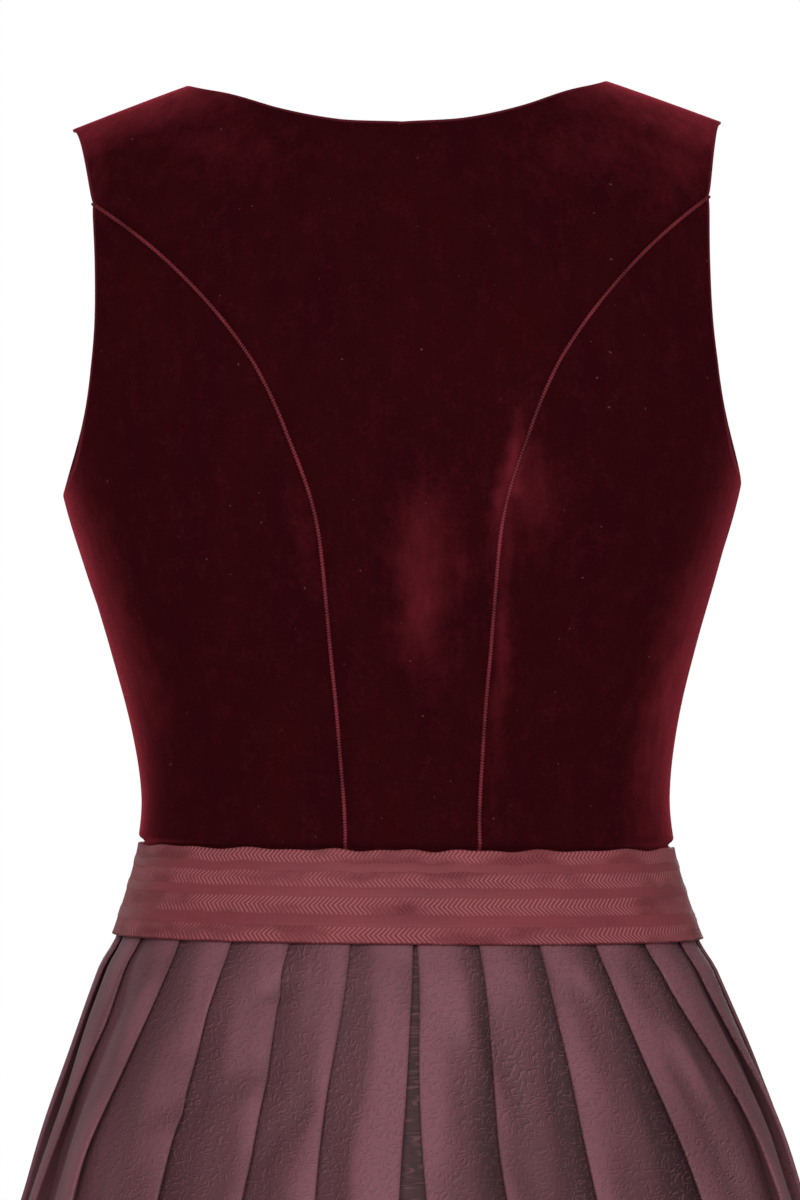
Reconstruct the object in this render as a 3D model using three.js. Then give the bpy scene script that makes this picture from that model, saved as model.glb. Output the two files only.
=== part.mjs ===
// A dirndl dress as it hangs when worn, hollow and with no wearer: a sleeveless velvet bodice in
// seven panels with corded seams, a woven band round the waist, and a knife-pleated midi skirt.
// Millimetres. +Z is up, -Y is the front and +X the wearer's left. The origin lies midway between
// the two straps, at the height where they rest on the shoulders.
import * as THREE from "three";

// Cloth and clearances.
const velvetWall = 1.8; // velvet and its backing, sewn as one
const skirtWall = 1.0;
const bandWall = 1.8;
const seamGap = 0.3; // between two panels, and under what lies on a panel
const bodiceUnder = 1.8; // from the band in to the bodice, so that the cords fit between them
const skirtUnder = 0.9; // from the band in to the skirt

// Heights, measured from where the straps rest.
const bandTop = -379.6;
const bandBottom = -425.4;
const waistSeam = -402; // bodice above, skirt below, both hidden by the band
const hem = -1130;
const drawnIn = -379.1; // the bodice is drawn in from here down, to pass under the band
const clear = -375.6; // and it is clear of the band from here up

// The waist sits a little higher on the wearer's left: its slope, and the height over which it fades.
const waistSlope = 0.026;
const waistSlopeFade = 110;

// The shoulders: a ridge that falls outwards, with the back and front rounding over it.
const neckPoint = 106.5; // half the width of the neckline on the ridge
const shoulderTip = 163;
const ridgeTop = 2;
const ridgeFall = 0.405; // drop for each millimetre outwards, well away from the neck
const ridgeRound = 60; // how far from the middle the ridge's two slopes round into each other
const backCap = 150; // how far below the ridge the back is at its full depth
const frontCap = 170;

// Corded seams.
const cordWidth = 2.0;
const cordHeight = 0.9;

// Skirt pleats.
const pleatsPerHalf = 13;
const underlap = 0.7; // hidden part of a pressed pleat, as a share of its visible width
const layerStep = 1.7; // from one layer of a pressed pleat to the next
const centreShown = 10; // half of what shows between the centre back's pleats where they are open
const bandEase = 16; // the height over which the skirt swells out below the band

// Horizontal sections of the figure that the dress is cut for. side is half the width, back and
// front the depths behind and before y = 0, middle the y of the widest line. squareBack and
// squareFront are the powers of the superellipse: 2 is an ellipse, and more is squarer.
const figure = [
  { z: -140, side: 180, back: 96, front: 112, middle: 0, squareBack: 2.3, squareFront: 2.3 },
  { z: -200, side: 170.5, back: 98, front: 128, middle: -6, squareBack: 2.3, squareFront: 2.4 },
  { z: -240, side: 159.5, back: 94, front: 136, middle: -10, squareBack: 2.3, squareFront: 2.6 },
  { z: -280, side: 147.5, back: 85, front: 126, middle: -13, squareBack: 2.25, squareFront: 2.5 },
  { z: -320, side: 137.5, back: 76, front: 110, middle: -15, squareBack: 2.2, squareFront: 2.3 },
  { z: -355, side: 133, back: 72, front: 101, middle: -15, squareBack: 2.2, squareFront: 2.2 },
  { z: -381, side: 135.5, back: 75, front: 102, middle: -14, squareBack: 2.2, squareFront: 2.2 },
  { z: -405, side: 142, back: 81, front: 106, middle: -13, squareBack: 2.2, squareFront: 2.2 },
  { z: -429, side: 150.5, back: 90, front: 112, middle: -12, squareBack: 2.2, squareFront: 2.2 },
  { z: -480, side: 171, back: 111, front: 128, middle: -10, squareBack: 2.15, squareFront: 2.15 },
  { z: -537, side: 191.5, back: 134, front: 148, middle: -8, squareBack: 2.1, squareFront: 2.1 },
  { z: -640, side: 222, back: 174, front: 184, middle: -6, squareBack: 2.1, squareFront: 2.1 },
  { z: -780, side: 249, back: 212, front: 220, middle: -4, squareBack: 2.05, squareFront: 2.05 },
  { z: -950, side: 273, back: 243, front: 250, middle: -3, squareBack: 2, squareFront: 2 },
  { z: -1130, side: 291, back: 265, front: 270, middle: -3, squareBack: 2, squareFront: 2 },
];

// Seams and edges of the bodice, as places x, z on its outer face. x is half of a symmetric pair.
// A height above the ridge means the ridge, and a place wider than the figure means its side.
const backPrincess = [
  { x: 33, z: -373 },
  { x: 34.5, z: -340 },
  { x: 38.5, z: -290 },
  { x: 45, z: -221 },
  { x: 60, z: -173 },
  { x: 80, z: -132 },
  { x: 115, z: -90 },
  { x: 153.5, z: -58 },
];
const backArmholeAbove = [
  { x: 153.5, z: -58 },
  { x: 156, z: -42 },
  { x: 163, z: 2 },
];
const backArmholeBelow = [
  { x: 153.5, z: -58 },
  { x: 152.5, z: -90 },
  { x: 153.5, z: -125 },
  { x: 157.5, z: -158 },
  { x: 163, z: -184 },
  { x: 171, z: -202 },
];
const backNeckline = [
  { x: 106.5, z: 2 },
  { x: 101, z: 0.5 },
  { x: 88, z: -3 },
  { x: 62, z: -12 },
  { x: 32, z: -19 },
  { x: 0, z: -21 },
];
const frontPrincess = [
  { x: 56, z: -373 },
  { x: 59, z: -340 },
  { x: 68, z: -290 },
  { x: 80, z: -240 },
  { x: 92, z: -200 },
  { x: 112, z: -155 },
  { x: 137, z: -118 },
];
const frontArmholeAbove = [
  { x: 137, z: -118 },
  { x: 141, z: -80 },
  { x: 150, z: -45 },
  { x: 163, z: 2 },
];
const frontArmholeBelow = [
  { x: 137, z: -118 },
  { x: 140, z: -150 },
  { x: 151, z: -182 },
  { x: 171, z: -202 },
];
const frontNeckline = [
  { x: 106.5, z: 2 },
  { x: 102, z: -40 },
  { x: 96, z: -84 },
  { x: 84, z: -120 },
  { x: 56, z: -142 },
  { x: 0, z: -150 },
];

// How the pleats open on the way down. flute is half the depth of the soft folds between them.
const opening = [
  { z: -402, flute: 0 },
  { z: -429, flute: 0.3 },
  { z: -480, flute: 2 },
  { z: -537, flute: 4.4 },
  { z: -640, flute: 7.5 },
  { z: -780, flute: 10 },
  { z: -950, flute: 11.5 },
  { z: -1130, flute: 11 },
];
const skirtRows = [
  waistSeam - seamGap,
  ...[-424, -446, -466, -492, -530, -580, -635, -685, -735, -820, -920, -1030],
  hem,
];

// How the pleats differ. leftDrift and rightDrift are how far their edges drift outwards by the
// hips, in shares of a pleat, and leftDeep and rightDeep how deep their soft folds are, as shares of
// the usual. left and right are the wearer's, and pleat 0 is the one that meets the centre back.
const pleatTable = [
  { pleat: 0, leftDrift: 0.13, rightDrift: -0.15, leftDeep: 0.97, rightDeep: 1.12 },
  { pleat: 1, leftDrift: 0.12, rightDrift: -0.14, leftDeep: 0.85, rightDeep: 0.95 },
  { pleat: 2, leftDrift: -0.06, rightDrift: -0.15, leftDeep: 0.93, rightDeep: 1.1 },
  { pleat: 3, leftDrift: 0.07, rightDrift: 0.24, leftDeep: 0.97, rightDeep: 1 },
  { pleat: 4, leftDrift: 0.42, rightDrift: 0.85, leftDeep: 1, rightDeep: 1 },
  { pleat: 5, leftDrift: 0.34, rightDrift: 0.78, leftDeep: 1, rightDeep: 1 },
  { pleat: 6, leftDrift: 0.26, rightDrift: 0.66, leftDeep: 1, rightDeep: 1 },
  { pleat: 7, leftDrift: 0.18, rightDrift: 0.54, leftDeep: 1, rightDeep: 1 },
  { pleat: 8, leftDrift: 0.1, rightDrift: 0.42, leftDeep: 1, rightDeep: 1 },
  { pleat: 9, leftDrift: 0.05, rightDrift: 0.3, leftDeep: 1, rightDeep: 1 },
  { pleat: 10, leftDrift: 0, rightDrift: 0.18, leftDeep: 1, rightDeep: 1 },
  { pleat: 11, leftDrift: 0, rightDrift: 0.08, leftDeep: 1, rightDeep: 1 },
  { pleat: 12, leftDrift: 0, rightDrift: 0, leftDeep: 1, rightDeep: 1 },
];
const driftTop = -429;
const driftFull = -537;
const driftFaded = -760; // half of the drift is lost again by here

// A table's column at z, through the rows by cubic curves. The rows run downwards.
function valueAt(table, column, z) {
  const last = table.length - 1;
  if (z >= table[0].z) return table[0][column];
  if (z <= table[last].z) return table[last][column];
  const i = table.findIndex((row) => row.z <= z) - 1;
  const slopeAt = (k) => {
    const above = table[Math.max(k - 1, 0)];
    const below = table[Math.min(k + 1, last)];
    return (above[column] - below[column]) / (above.z - below.z);
  };
  const span = table[i + 1].z - table[i].z;
  const t = (z - table[i].z) / span;
  return (
    table[i][column] * (1 - t) ** 2 * (1 + 2 * t) +
    table[i + 1][column] * t * t * (3 - 2 * t) +
    slopeAt(i) * span * t * (1 - t) ** 2 -
    slopeAt(i + 1) * span * t * t * (1 - t)
  );
}

function smoothStep(from, to, value) {
  const t = Math.min(1, Math.max(0, (value - from) / (to - from)));
  return t * t * (3 - 2 * t);
}

// The figure's outline at a height. Angle 0 is the centre back and a quarter turn the left side.
function outline(z, angle) {
  const behind = Math.cos(angle) >= 0;
  const middle = valueAt(figure, "middle", z);
  const side = valueAt(figure, "side", z);
  const depth = behind ? valueAt(figure, "back", z) - middle : valueAt(figure, "front", z) + middle;
  const power = valueAt(figure, behind ? "squareBack" : "squareFront", z);
  const across = Math.abs(Math.sin(angle) / side) ** power;
  const along = Math.abs(Math.cos(angle) / depth) ** power;
  const reach = (across + along) ** (-1 / power);
  return { x: reach * Math.sin(angle), y: reach * Math.cos(angle), middle };
}

function ridgeHeight(x) {
  return ridgeTop - ridgeFall * (Math.hypot(x, ridgeRound) - Math.hypot(neckPoint, ridgeRound));
}

// The bodice's outer face. climb is the height, and goes on past the cap's foot as the length of
// the quarter ellipse that leads over to the shoulder ridge.
function bodiceFace(angle, climb) {
  const cap = Math.cos(angle) >= 0 ? backCap : frontCap;
  const foot = ridgeHeight(outline(0, angle).x) - cap;
  const rise = Math.max(0, (climb - foot) / cap);
  const z = rise > 0 ? foot + cap * Math.sin(rise) : climb;
  const place = outline(z, angle);
  return new THREE.Vector3(place.x, place.middle + place.y * Math.cos(rise), z);
}

// The way out of the bodice's face, from its slopes along both coordinates. It is level under the
// band, so that the waist seam stays level through the cloth.
function bodiceNormal(angle, climb) {
  const step = 1e-3;
  const cap = Math.cos(angle) >= 0 ? backCap : frontCap;
  const top = ridgeHeight(outline(0, angle).x) + cap * (Math.PI / 2 - 1);
  const upper = Math.min(climb + step, top);
  const across = bodiceFace(angle + step, climb).sub(bodiceFace(angle - step, climb));
  const up = bodiceFace(angle, upper).sub(bodiceFace(angle, upper - 2 * step));
  const normal = across.cross(up).negate();
  if (climb < clear) normal.z = 0;
  return normal.normalize();
}

// The face coordinates of a place x, z, on the back or on the front.
function faceCoordinates({ x, z }, onBack) {
  const cap = onBack ? backCap : frontCap;
  let low = onBack ? 0 : Math.PI / 2;
  let high = onBack ? Math.PI / 2 : Math.PI;
  for (let i = 0; i < 40; i += 1) {
    const angle = (low + high) / 2;
    const tooWide = outline(z, angle).x > x;
    if (tooWide === onBack) high = angle;
    else low = angle;
  }
  const angle = (low + high) / 2;
  const foot = ridgeHeight(outline(0, angle).x) - cap;
  const rise = (z - foot) / cap;
  const climb = rise > 0 ? foot + cap * Math.asin(Math.min(1, rise)) : z;
  return new THREE.Vector2(angle, climb);
}

// A seam or edge as a smooth curve in face coordinates, cut into equal steps.
function edgeCurve(table, onBack, steps) {
  const points = table.map((row) => faceCoordinates(row, onBack));
  const unit = 100; // makes an angle weigh about as much as the millimetres it covers
  const scaled = points.map((p) => new THREE.Vector2(p.x * unit, p.y));
  const curve = new THREE.SplineCurve(scaled);
  return curve.getSpacedPoints(steps).map((p) => new THREE.Vector2(p.x / unit, p.y));
}

function straightEdge(from, to, steps) {
  return Array.from({ length: steps + 1 }, (_, i) => from.clone().lerp(to, i / steps));
}

// Joins edges end to end, keeping each shared point once.
function joinEdges(...edges) {
  return edges.flatMap((edge, i) => (i === 0 ? edge : edge.slice(1)));
}

// Fills four edges with a Coons grid. left and right run up, bottom and top run from left to right.
function coonsGrid(left, right, bottom, top) {
  const rows = left.length - 1;
  const columns = bottom.length - 1;
  return left.map((leftPoint, j) =>
    bottom.map((bottomPoint, i) => {
      const u = i / columns;
      const v = (j / rows) ** 1.7; // keeps the lower rows level
      const blend = (key) =>
        (1 - v) * (bottomPoint[key] - (1 - u) * bottom[0][key] - u * bottom[columns][key]) +
        v * (top[i][key] - (1 - u) * top[0][key] - u * top[columns][key]) +
        (1 - u) * leftPoint[key] +
        u * right[j][key];
      return new THREE.Vector2(blend("x"), blend("y"));
    }),
  );
}

// How far the bodice is drawn in to pass under the band.
function tuckAt(z) {
  return (bandWall + bodiceUnder) * smoothStep(clear, drawnIn, z);
}

// Continues a panel's grid, or a seam, straight down behind the band to the waist seam.
function underBand(lowest) {
  return [waistSeam + seamGap / 2, drawnIn].map((z) => lowest.map((p) => new THREE.Vector2(p.x, z)));
}

// Moves the first and last point of a line towards their neighbours by half a seam gap.
function trimEnds(line) {
  const trimmed = line.map((p) => p.clone());
  const pull = (end, next) => {
    const way = line[next].clone().sub(line[end]).normalize();
    trimmed[end].addScaledVector(way, seamGap / 2);
  };
  pull(0, 1);
  pull(line.length - 1, line.length - 2);
  return trimmed;
}

function transpose(grid) {
  return grid[0].map((_, i) => grid.map((row) => row[i]));
}

function waistRise({ x, z }) {
  return waistSlope * x * smoothStep(waistSlopeFade, 0, Math.abs(z - waistSeam));
}

// A closed wall between two grids of points that match, outer and inner. Each row lies above the one
// before, and its points follow the growing angle, which is leftwards as seen from outside.
function wallGeometry(outer, inner) {
  const rows = outer.length;
  const columns = outer[0].length;
  const positions = [...outer.flat(), ...inner.flat()].flatMap((p) => [p.x, p.y, p.z + waistRise(p)]);
  const innerStart = rows * columns;
  const at = (row, column, onInner) => row * columns + column + (onInner ? innerStart : 0);
  const faces = [];
  const quad = (a, b, c, d) => faces.push(a, c, b, a, d, c);
  for (let r = 0; r < rows - 1; r += 1) {
    for (let c = 0; c < columns - 1; c += 1) {
      const rising = outer[r][c].distanceTo(outer[r + 1][c + 1]);
      const falling = outer[r + 1][c].distanceTo(outer[r][c + 1]);
      const around = [at(r, c), at(r, c + 1), at(r + 1, c + 1), at(r + 1, c)];
      if (falling < rising) around.push(around.shift());
      const [a, b, d, e] = around;
      quad(a, b, d, e);
      quad(...[a, e, d, b].map((k) => k + innerStart));
    }
  }
  for (let c = 0; c < columns - 1; c += 1) {
    quad(at(0, c, true), at(0, c + 1, true), at(0, c + 1), at(0, c));
    quad(at(rows - 1, c), at(rows - 1, c + 1), at(rows - 1, c + 1, true), at(rows - 1, c, true));
  }
  for (let r = 0; r < rows - 1; r += 1) {
    quad(at(r, 0, true), at(r, 0), at(r + 1, 0), at(r + 1, 0, true));
    quad(at(r, columns - 1), at(r, columns - 1, true), at(r + 1, columns - 1, true), at(r + 1, columns - 1));
  }
  const geometry = new THREE.BufferGeometry();
  geometry.setAttribute("position", new THREE.Float32BufferAttribute(positions, 3));
  geometry.setIndex(faces);
  geometry.computeVertexNormals();
  return geometry;
}

// Turns a grid of face coordinates into a panel's wall.
function panelGeometry(visible) {
  const grid = [...underBand(visible[0]), ...visible];
  const place = (p, inwards) => {
    const point = bodiceFace(p.x, p.y);
    return point.addScaledVector(bodiceNormal(p.x, p.y), -inwards - tuckAt(point.z));
  };
  const skin = (inwards) => {
    const points = grid.map((row) => row.map((p) => place(p, inwards)));
    return transpose(transpose(points.map(trimEnds)).map(trimEnds));
  };
  return wallGeometry(skin(0), skin(velvetWall));
}

// The mirror image of a panel's coordinates, with its columns turned round so that it faces out.
function mirrored(grid) {
  return grid.map((row) => row.map((p) => new THREE.Vector2(-p.x, p.y)).reverse());
}

function mirroredEdge(edge) {
  return edge.map((p) => new THREE.Vector2(-p.x, p.y));
}

// Steps along each edge. The panels on both sides of a seam use the same ones.
const seamSteps = 14;
const armholeAboveSteps = 5;
const armholeBelowSteps = 8;
const shoulderSteps = 3;
const backNeckSteps = 6;
const strapSteps = 7;
const frontNeckSteps = 9;
const centreFrontSteps = seamSteps + armholeAboveSteps - frontNeckSteps;

const backSeam = edgeCurve(backPrincess, true, seamSteps);
const frontSeam = edgeCurve(frontPrincess, false, seamSteps);
const ridge = [
  { x: shoulderTip, z: ridgeTop },
  { x: 145, z: ridgeTop },
  { x: 126, z: ridgeTop },
  { x: neckPoint, z: ridgeTop },
];

// The centre back runs from seam to seam, and on up to both shoulders.
function backCentreGrid() {
  const left = joinEdges(backSeam, edgeCurve(backArmholeAbove, true, armholeAboveSteps));
  const shoulder = edgeCurve(ridge, true, shoulderSteps);
  const halfTop = joinEdges(shoulder, edgeCurve(backNeckline, true, backNeckSteps));
  const top = joinEdges(mirroredEdge(halfTop), [...halfTop].reverse());
  const bottom = straightEdge(mirroredEdge(left)[0], left[0], top.length - 1);
  return coonsGrid(mirroredEdge(left), left, bottom, top);
}

function backSideGrid() {
  const top = edgeCurve(backArmholeBelow, true, armholeBelowSteps);
  const underarm = top[top.length - 1];
  const foot = new THREE.Vector2(Math.PI / 2, backSeam[0].y);
  const side = straightEdge(foot, underarm, seamSteps);
  const bottom = straightEdge(backSeam[0], foot, armholeBelowSteps);
  return coonsGrid(backSeam, side, bottom, top);
}

function frontSideGrid() {
  const armhole = edgeCurve(frontArmholeBelow, false, armholeBelowSteps).reverse();
  const underarm = armhole[0];
  const foot = new THREE.Vector2(Math.PI / 2, frontSeam[0].y);
  const side = straightEdge(foot, underarm, seamSteps);
  const bottom = straightEdge(foot, frontSeam[0], armholeBelowSteps);
  return coonsGrid(side, frontSeam, bottom, armhole);
}

// Half of the front, from its seam to the centre front, where the two halves meet edge to edge.
function frontCentreGrid() {
  const seamSide = joinEdges(frontSeam, edgeCurve(frontArmholeAbove, false, armholeAboveSteps));
  const neckline = edgeCurve(frontNeckline, false, frontNeckSteps).reverse();
  const foot = new THREE.Vector2(Math.PI, frontSeam[0].y);
  const centre = straightEdge(foot, neckline[0], centreFrontSteps);
  const bottom = straightEdge(frontSeam[0], foot, strapSteps);
  const shoulder = edgeCurve(ridge, false, strapSteps);
  return coonsGrid(seamSide, joinEdges(centre, neckline), bottom, shoulder);
}

// A cord that lies along a seam: a low ridge with three faces over a flat foot.
function seamCordGeometry(seam, side) {
  const edge = [...underBand([seam[0]]).flat(), ...seam];
  const outer = [];
  const inner = [];
  edge.slice(1).forEach((p, k) => {
    const before = bodiceFace(edge[k].x, edge[k].y);
    const here = bodiceFace(p.x, p.y);
    const ends = k === 0 ? [edge[k], p] : [p];
    ends.forEach((end) => {
      const normal = bodiceNormal(end.x, end.y);
      const along = here.clone().sub(before).normalize();
      const across = normal.clone().cross(along).normalize();
      const base = bodiceFace(end.x, end.y);
      base.addScaledVector(normal, seamGap - tuckAt(base.z));
      const at = (sideways, up) =>
        base.clone().addScaledVector(across, sideways * cordWidth).addScaledVector(normal, up * cordHeight);
      const mirror = (q) => new THREE.Vector3(side * q.x, q.y, q.z);
      outer.push([at(-0.5, 0.25), at(-0.22, 1), at(0.22, 1), at(0.5, 0.25)].map(mirror));
      inner.push([at(-0.4, 0), at(-0.15, 0), at(0.15, 0), at(0.4, 0)].map(mirror));
    });
  });
  if (side < 0) [...outer, ...inner].forEach((row) => row.reverse());
  return wallGeometry(outer, inner);
}

// The band: one strip round the waist whose end laps over its start at the centre front.
const bandSteps = 56;
const bandLap = 0.16; // in radians past the full turn
const bandHeights = [bandBottom, (bandBottom + bandTop) / 2, bandTop];

function bandGeometry() {
  const skin = (inwards) =>
    bandHeights.map((z) =>
      Array.from({ length: bandSteps + 1 }, (_, i) => {
        const turn = (i / bandSteps) * (2 * Math.PI + bandLap);
        const lift = (bandWall + seamGap * 2) * smoothStep(2 * Math.PI - 0.3, 2 * Math.PI, turn);
        const angle = turn - Math.PI;
        const place = outline(z, angle);
        const way = new THREE.Vector2(place.x, place.y).normalize();
        const shift = lift - inwards;
        return new THREE.Vector3(place.x + way.x * shift, place.middle + place.y + way.y * shift, z);
      }),
    );
  return wallGeometry(skin(0), skin(bandWall));
}

// Half of the skirt's outline at a height, from the centre back to the centre front, by length.
function halfRing(z, inset) {
  const samples = 240;
  const places = Array.from({ length: samples + 1 }, (_, i) => {
    const place = outline(z, (Math.PI * i) / samples);
    return new THREE.Vector2(place.x, place.y + place.middle);
  });
  const lengths = [0];
  for (let i = 1; i <= samples; i += 1) lengths.push(lengths[i - 1] + places[i].distanceTo(places[i - 1]));
  const total = lengths[samples];
  const at = (distance, depth) => {
    const wanted = Math.min(Math.max(distance, 0), total);
    const i = Math.min(samples - 1, Math.max(0, lengths.findIndex((length) => length >= wanted) - 1));
    const t = (wanted - lengths[i]) / (lengths[i + 1] - lengths[i]);
    const along = places[i + 1].clone().sub(places[i]).normalize();
    const point = places[i].clone().lerp(places[i + 1], t).addScaledVector(along, distance - wanted);
    const outwards = new THREE.Vector2(-along.y, along.x);
    return point.addScaledVector(outwards, -depth - inset);
  };
  return { total, at };
}

// A pressed knife pleat, one visible width wide. along runs towards the folded edge at 1, depth
// counts layers down from the outside, and share is how far along the pleat's cloth a point lies.
const pressedPleat = [
  { along: -underlap, depth: 2, share: 0.025 },
  { along: -0.05, depth: 2, share: 0.27 },
  { along: 0.22, depth: 0.25, share: 0.38 },
  { along: 0.6, depth: 0, share: 0.53 },
  { along: 0.98, depth: 0, share: 0.68 },
  { along: 0.98, depth: 1, share: 0.72 },
  { along: 1 - underlap, depth: 1, share: 0.955 },
];

const pressedPitch = halfRing(waistSeam, bandWall + skirtUnder).total / pleatsPerHalf;
const pleatCloth = lengthOf(pressedPleat, pressedPitch, layerStep);

// The length of a pleat's cloth, across and in depth, with the first point of the next pleat.
function lengthOf(points, pitch, step) {
  const next = { along: points[0].along + 1, depth: points[0].depth };
  const span = (a, b) => Math.hypot((b.along - a.along) * pitch, (b.depth - a.depth) * step);
  return points.reduce((sum, point, i) => sum + span(point, points[i + 1] ?? next), 0);
}

// The pleat part-way from pressed, at 0, to a soft wave, at 1. The wave's crest is the folded edge
// and its trough the inner fold.
function openPleat(open, flute) {
  const crest = pressedPleat[4].share;
  return pressedPleat.map(({ along, depth, share }) => {
    const fromTrough = share < crest ? share / crest : (1 - share) / (1 - crest);
    const wave = flute * (1 + Math.cos(Math.PI * fromTrough));
    return { along: along * (1 - open) + share * open, depth: depth * layerStep * (1 - open) + wave, wave };
  });
}

// How far the pleats have opened where they are this wide, so that their cloth keeps its length.
function openness(pitch, flute) {
  let low = 0;
  let high = 1;
  for (let i = 0; i < 30; i += 1) {
    const middle = (low + high) / 2;
    if (lengthOf(openPleat(middle, flute), pitch, 1) > pleatCloth) low = middle;
    else high = middle;
  }
  return (low + high) / 2;
}

function driftAt(pleat, side, z) {
  if (pleat === pleatsPerHalf) return 0;
  const row = pleatTable[pleat];
  const grown = smoothStep(driftTop, driftFull, z) - 0.5 * smoothStep(driftFull, driftFaded, z);
  return (side > 0 ? row.leftDrift : row.rightDrift) * grown;
}

// The cloth's middle line on one half of the skirt at a height, from the centre front to the
// centre back. Every point keeps the number of its pleat, so that the cloth can be cut at a seam.
// Where the pleats open, the cloth behind the centre back's inverted pleat comes into view.
function halfSkirtLine(z, side) {
  const inset = (bandWall + skirtUnder) * smoothStep(bandBottom - bandEase, bandBottom, z) + skirtWall / 2;
  const ring = halfRing(z, inset);
  const flute = valueAt(opening, "flute", z);
  const open = openness(ring.total / pleatsPerHalf, flute);
  const shown = centreShown * open * open;
  const pitch = (ring.total - shown) / pleatsPerHalf;
  const points = openPleat(open, flute);
  const line = [];
  const add = (distance, depth, pleat, i) => {
    const place = ring.at(distance, depth);
    line.push({ point: new THREE.Vector2(side * place.x, place.y), pleat, i });
  };
  for (let pleat = pleatsPerHalf - 1; pleat >= 0; pleat -= 1) {
    const inner = pleat + driftAt(pleat, side, z);
    const width = (pleat + 1 + driftAt(pleat + 1, side, z) - inner) * pitch;
    const deeper = (side > 0 ? pleatTable[pleat].leftDeep : pleatTable[pleat].rightDeep) - 1;
    points.forEach(({ along, depth, wave }, i) => {
      const beforeFace = pleat === pleatsPerHalf - 1 && i < 2;
      if (!beforeFace) add(shown + inner * pitch + width * (1 - along), depth + wave * deeper, pleat, i);
    });
    if (pleat === 0) add(shown * 0.6 + inner * pitch - width * points[0].along, points[0].depth, -1, 0);
  }
  return line;
}

// Offsets a line in plan to both sides by half the wall, mitred at its corners.
function offsetLine(points, distance) {
  return points.map((point, i) => {
    const before = points[Math.max(i - 1, 0)];
    const after = points[Math.min(i + 1, points.length - 1)];
    const into = i === 0 ? after.clone().sub(point) : point.clone().sub(before);
    const out = i === points.length - 1 ? into.clone() : after.clone().sub(point);
    const a = into.normalize();
    const b = out.normalize();
    const normal = new THREE.Vector2(-(a.y + b.y), a.x + b.x).normalize();
    const stretch = 1 / Math.max(0.6, normal.dot(new THREE.Vector2(-a.y, a.x)));
    return point.clone().addScaledVector(normal, distance * stretch);
  });
}

const sidePleat = 6; // the side seams lie on the hidden layer of this pleat

// One skirt panel's middle line at a height, from the wearer's right side seam to the left on the
// back, and from left to right on the front.
function skirtLine(z, onBack) {
  const half = (side) => {
    const line = halfSkirtLine(z, side);
    const cut = line.findIndex((p) => p.pleat === sidePleat && p.i === 1);
    const [before, after] = [line[cut - 1].point, line[cut].point];
    const middle = before.clone().lerp(after, 0.5);
    const way = after.clone().sub(before).normalize();
    const end = middle.clone().addScaledVector(way, ((onBack ? 1 : -1) * seamGap) / 2);
    const kept = onBack ? line.slice(cut) : line.slice(0, cut);
    const points = kept.map((p) => p.point);
    return onBack ? [end, ...points] : [end, ...points.reverse()];
  };
  return [...half(onBack ? -1 : 1), ...half(onBack ? 1 : -1).reverse()];
}

function skirtGeometry(onBack) {
  const rows = [...skirtRows].reverse();
  const skin = (distance) =>
    rows.map((z) => offsetLine(skirtLine(z, onBack), distance).map((p) => new THREE.Vector3(p.x, p.y, z)));
  return wallGeometry(skin(skirtWall / 2), skin(-skirtWall / 2));
}

const velvet = new THREE.MeshStandardMaterial({ color: 0x3a0a12, roughness: 0.9, metalness: 0 });
const cordSatin = new THREE.MeshStandardMaterial({ color: 0x6e1f2b, roughness: 0.6, metalness: 0 });
const bandWeave = new THREE.MeshStandardMaterial({ color: 0x7f3640, roughness: 0.6, metalness: 0 });
const jacquard = new THREE.MeshStandardMaterial({ color: 0x6b424b, roughness: 0.6, metalness: 0 });

const dress = new THREE.Group();

function addPiece(name, geometry, material) {
  const mesh = new THREE.Mesh(geometry, material);
  mesh.name = name;
  dress.add(mesh);
}

addPiece("bodice_back_centre", panelGeometry(backCentreGrid()), velvet);
for (const [wearerSide, side] of [
  ["left", 1],
  ["right", -1],
]) {
  const turned = (grid) => (side > 0 ? grid : mirrored(grid));
  addPiece(`bodice_back_side_${wearerSide}`, panelGeometry(turned(backSideGrid())), velvet);
  addPiece(`bodice_front_side_${wearerSide}`, panelGeometry(turned(frontSideGrid())), velvet);
  addPiece(`bodice_front_centre_${wearerSide}`, panelGeometry(turned(frontCentreGrid())), velvet);
  addPiece(`seam_cord_back_${wearerSide}`, seamCordGeometry(backSeam, side), cordSatin);
  addPiece(`seam_cord_front_${wearerSide}`, seamCordGeometry(frontSeam, side), cordSatin);
}
addPiece("waist_band", bandGeometry(), bandWeave);
addPiece("skirt_back", skirtGeometry(true), jacquard);
addPiece("skirt_front", skirtGeometry(false), jacquard);

export default dress;
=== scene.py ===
"""A dirndl dress as it hangs when worn: the looks of its velvet bodice, woven band and pleated skirt.

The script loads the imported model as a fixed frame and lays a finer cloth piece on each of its
nodes. Sizes are in millimetres and become metres where a mesh is made. +Z is up, -Y is the front
and +X the wearer's left. The origin lies midway between the straps, where they rest.
"""
from __future__ import annotations

import logging
import math
from dataclasses import dataclass
from enum import Enum
from typing import Any, NamedTuple, Sequence

import bpy
import numpy as np
from mathutils import Matrix, Vector

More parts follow.
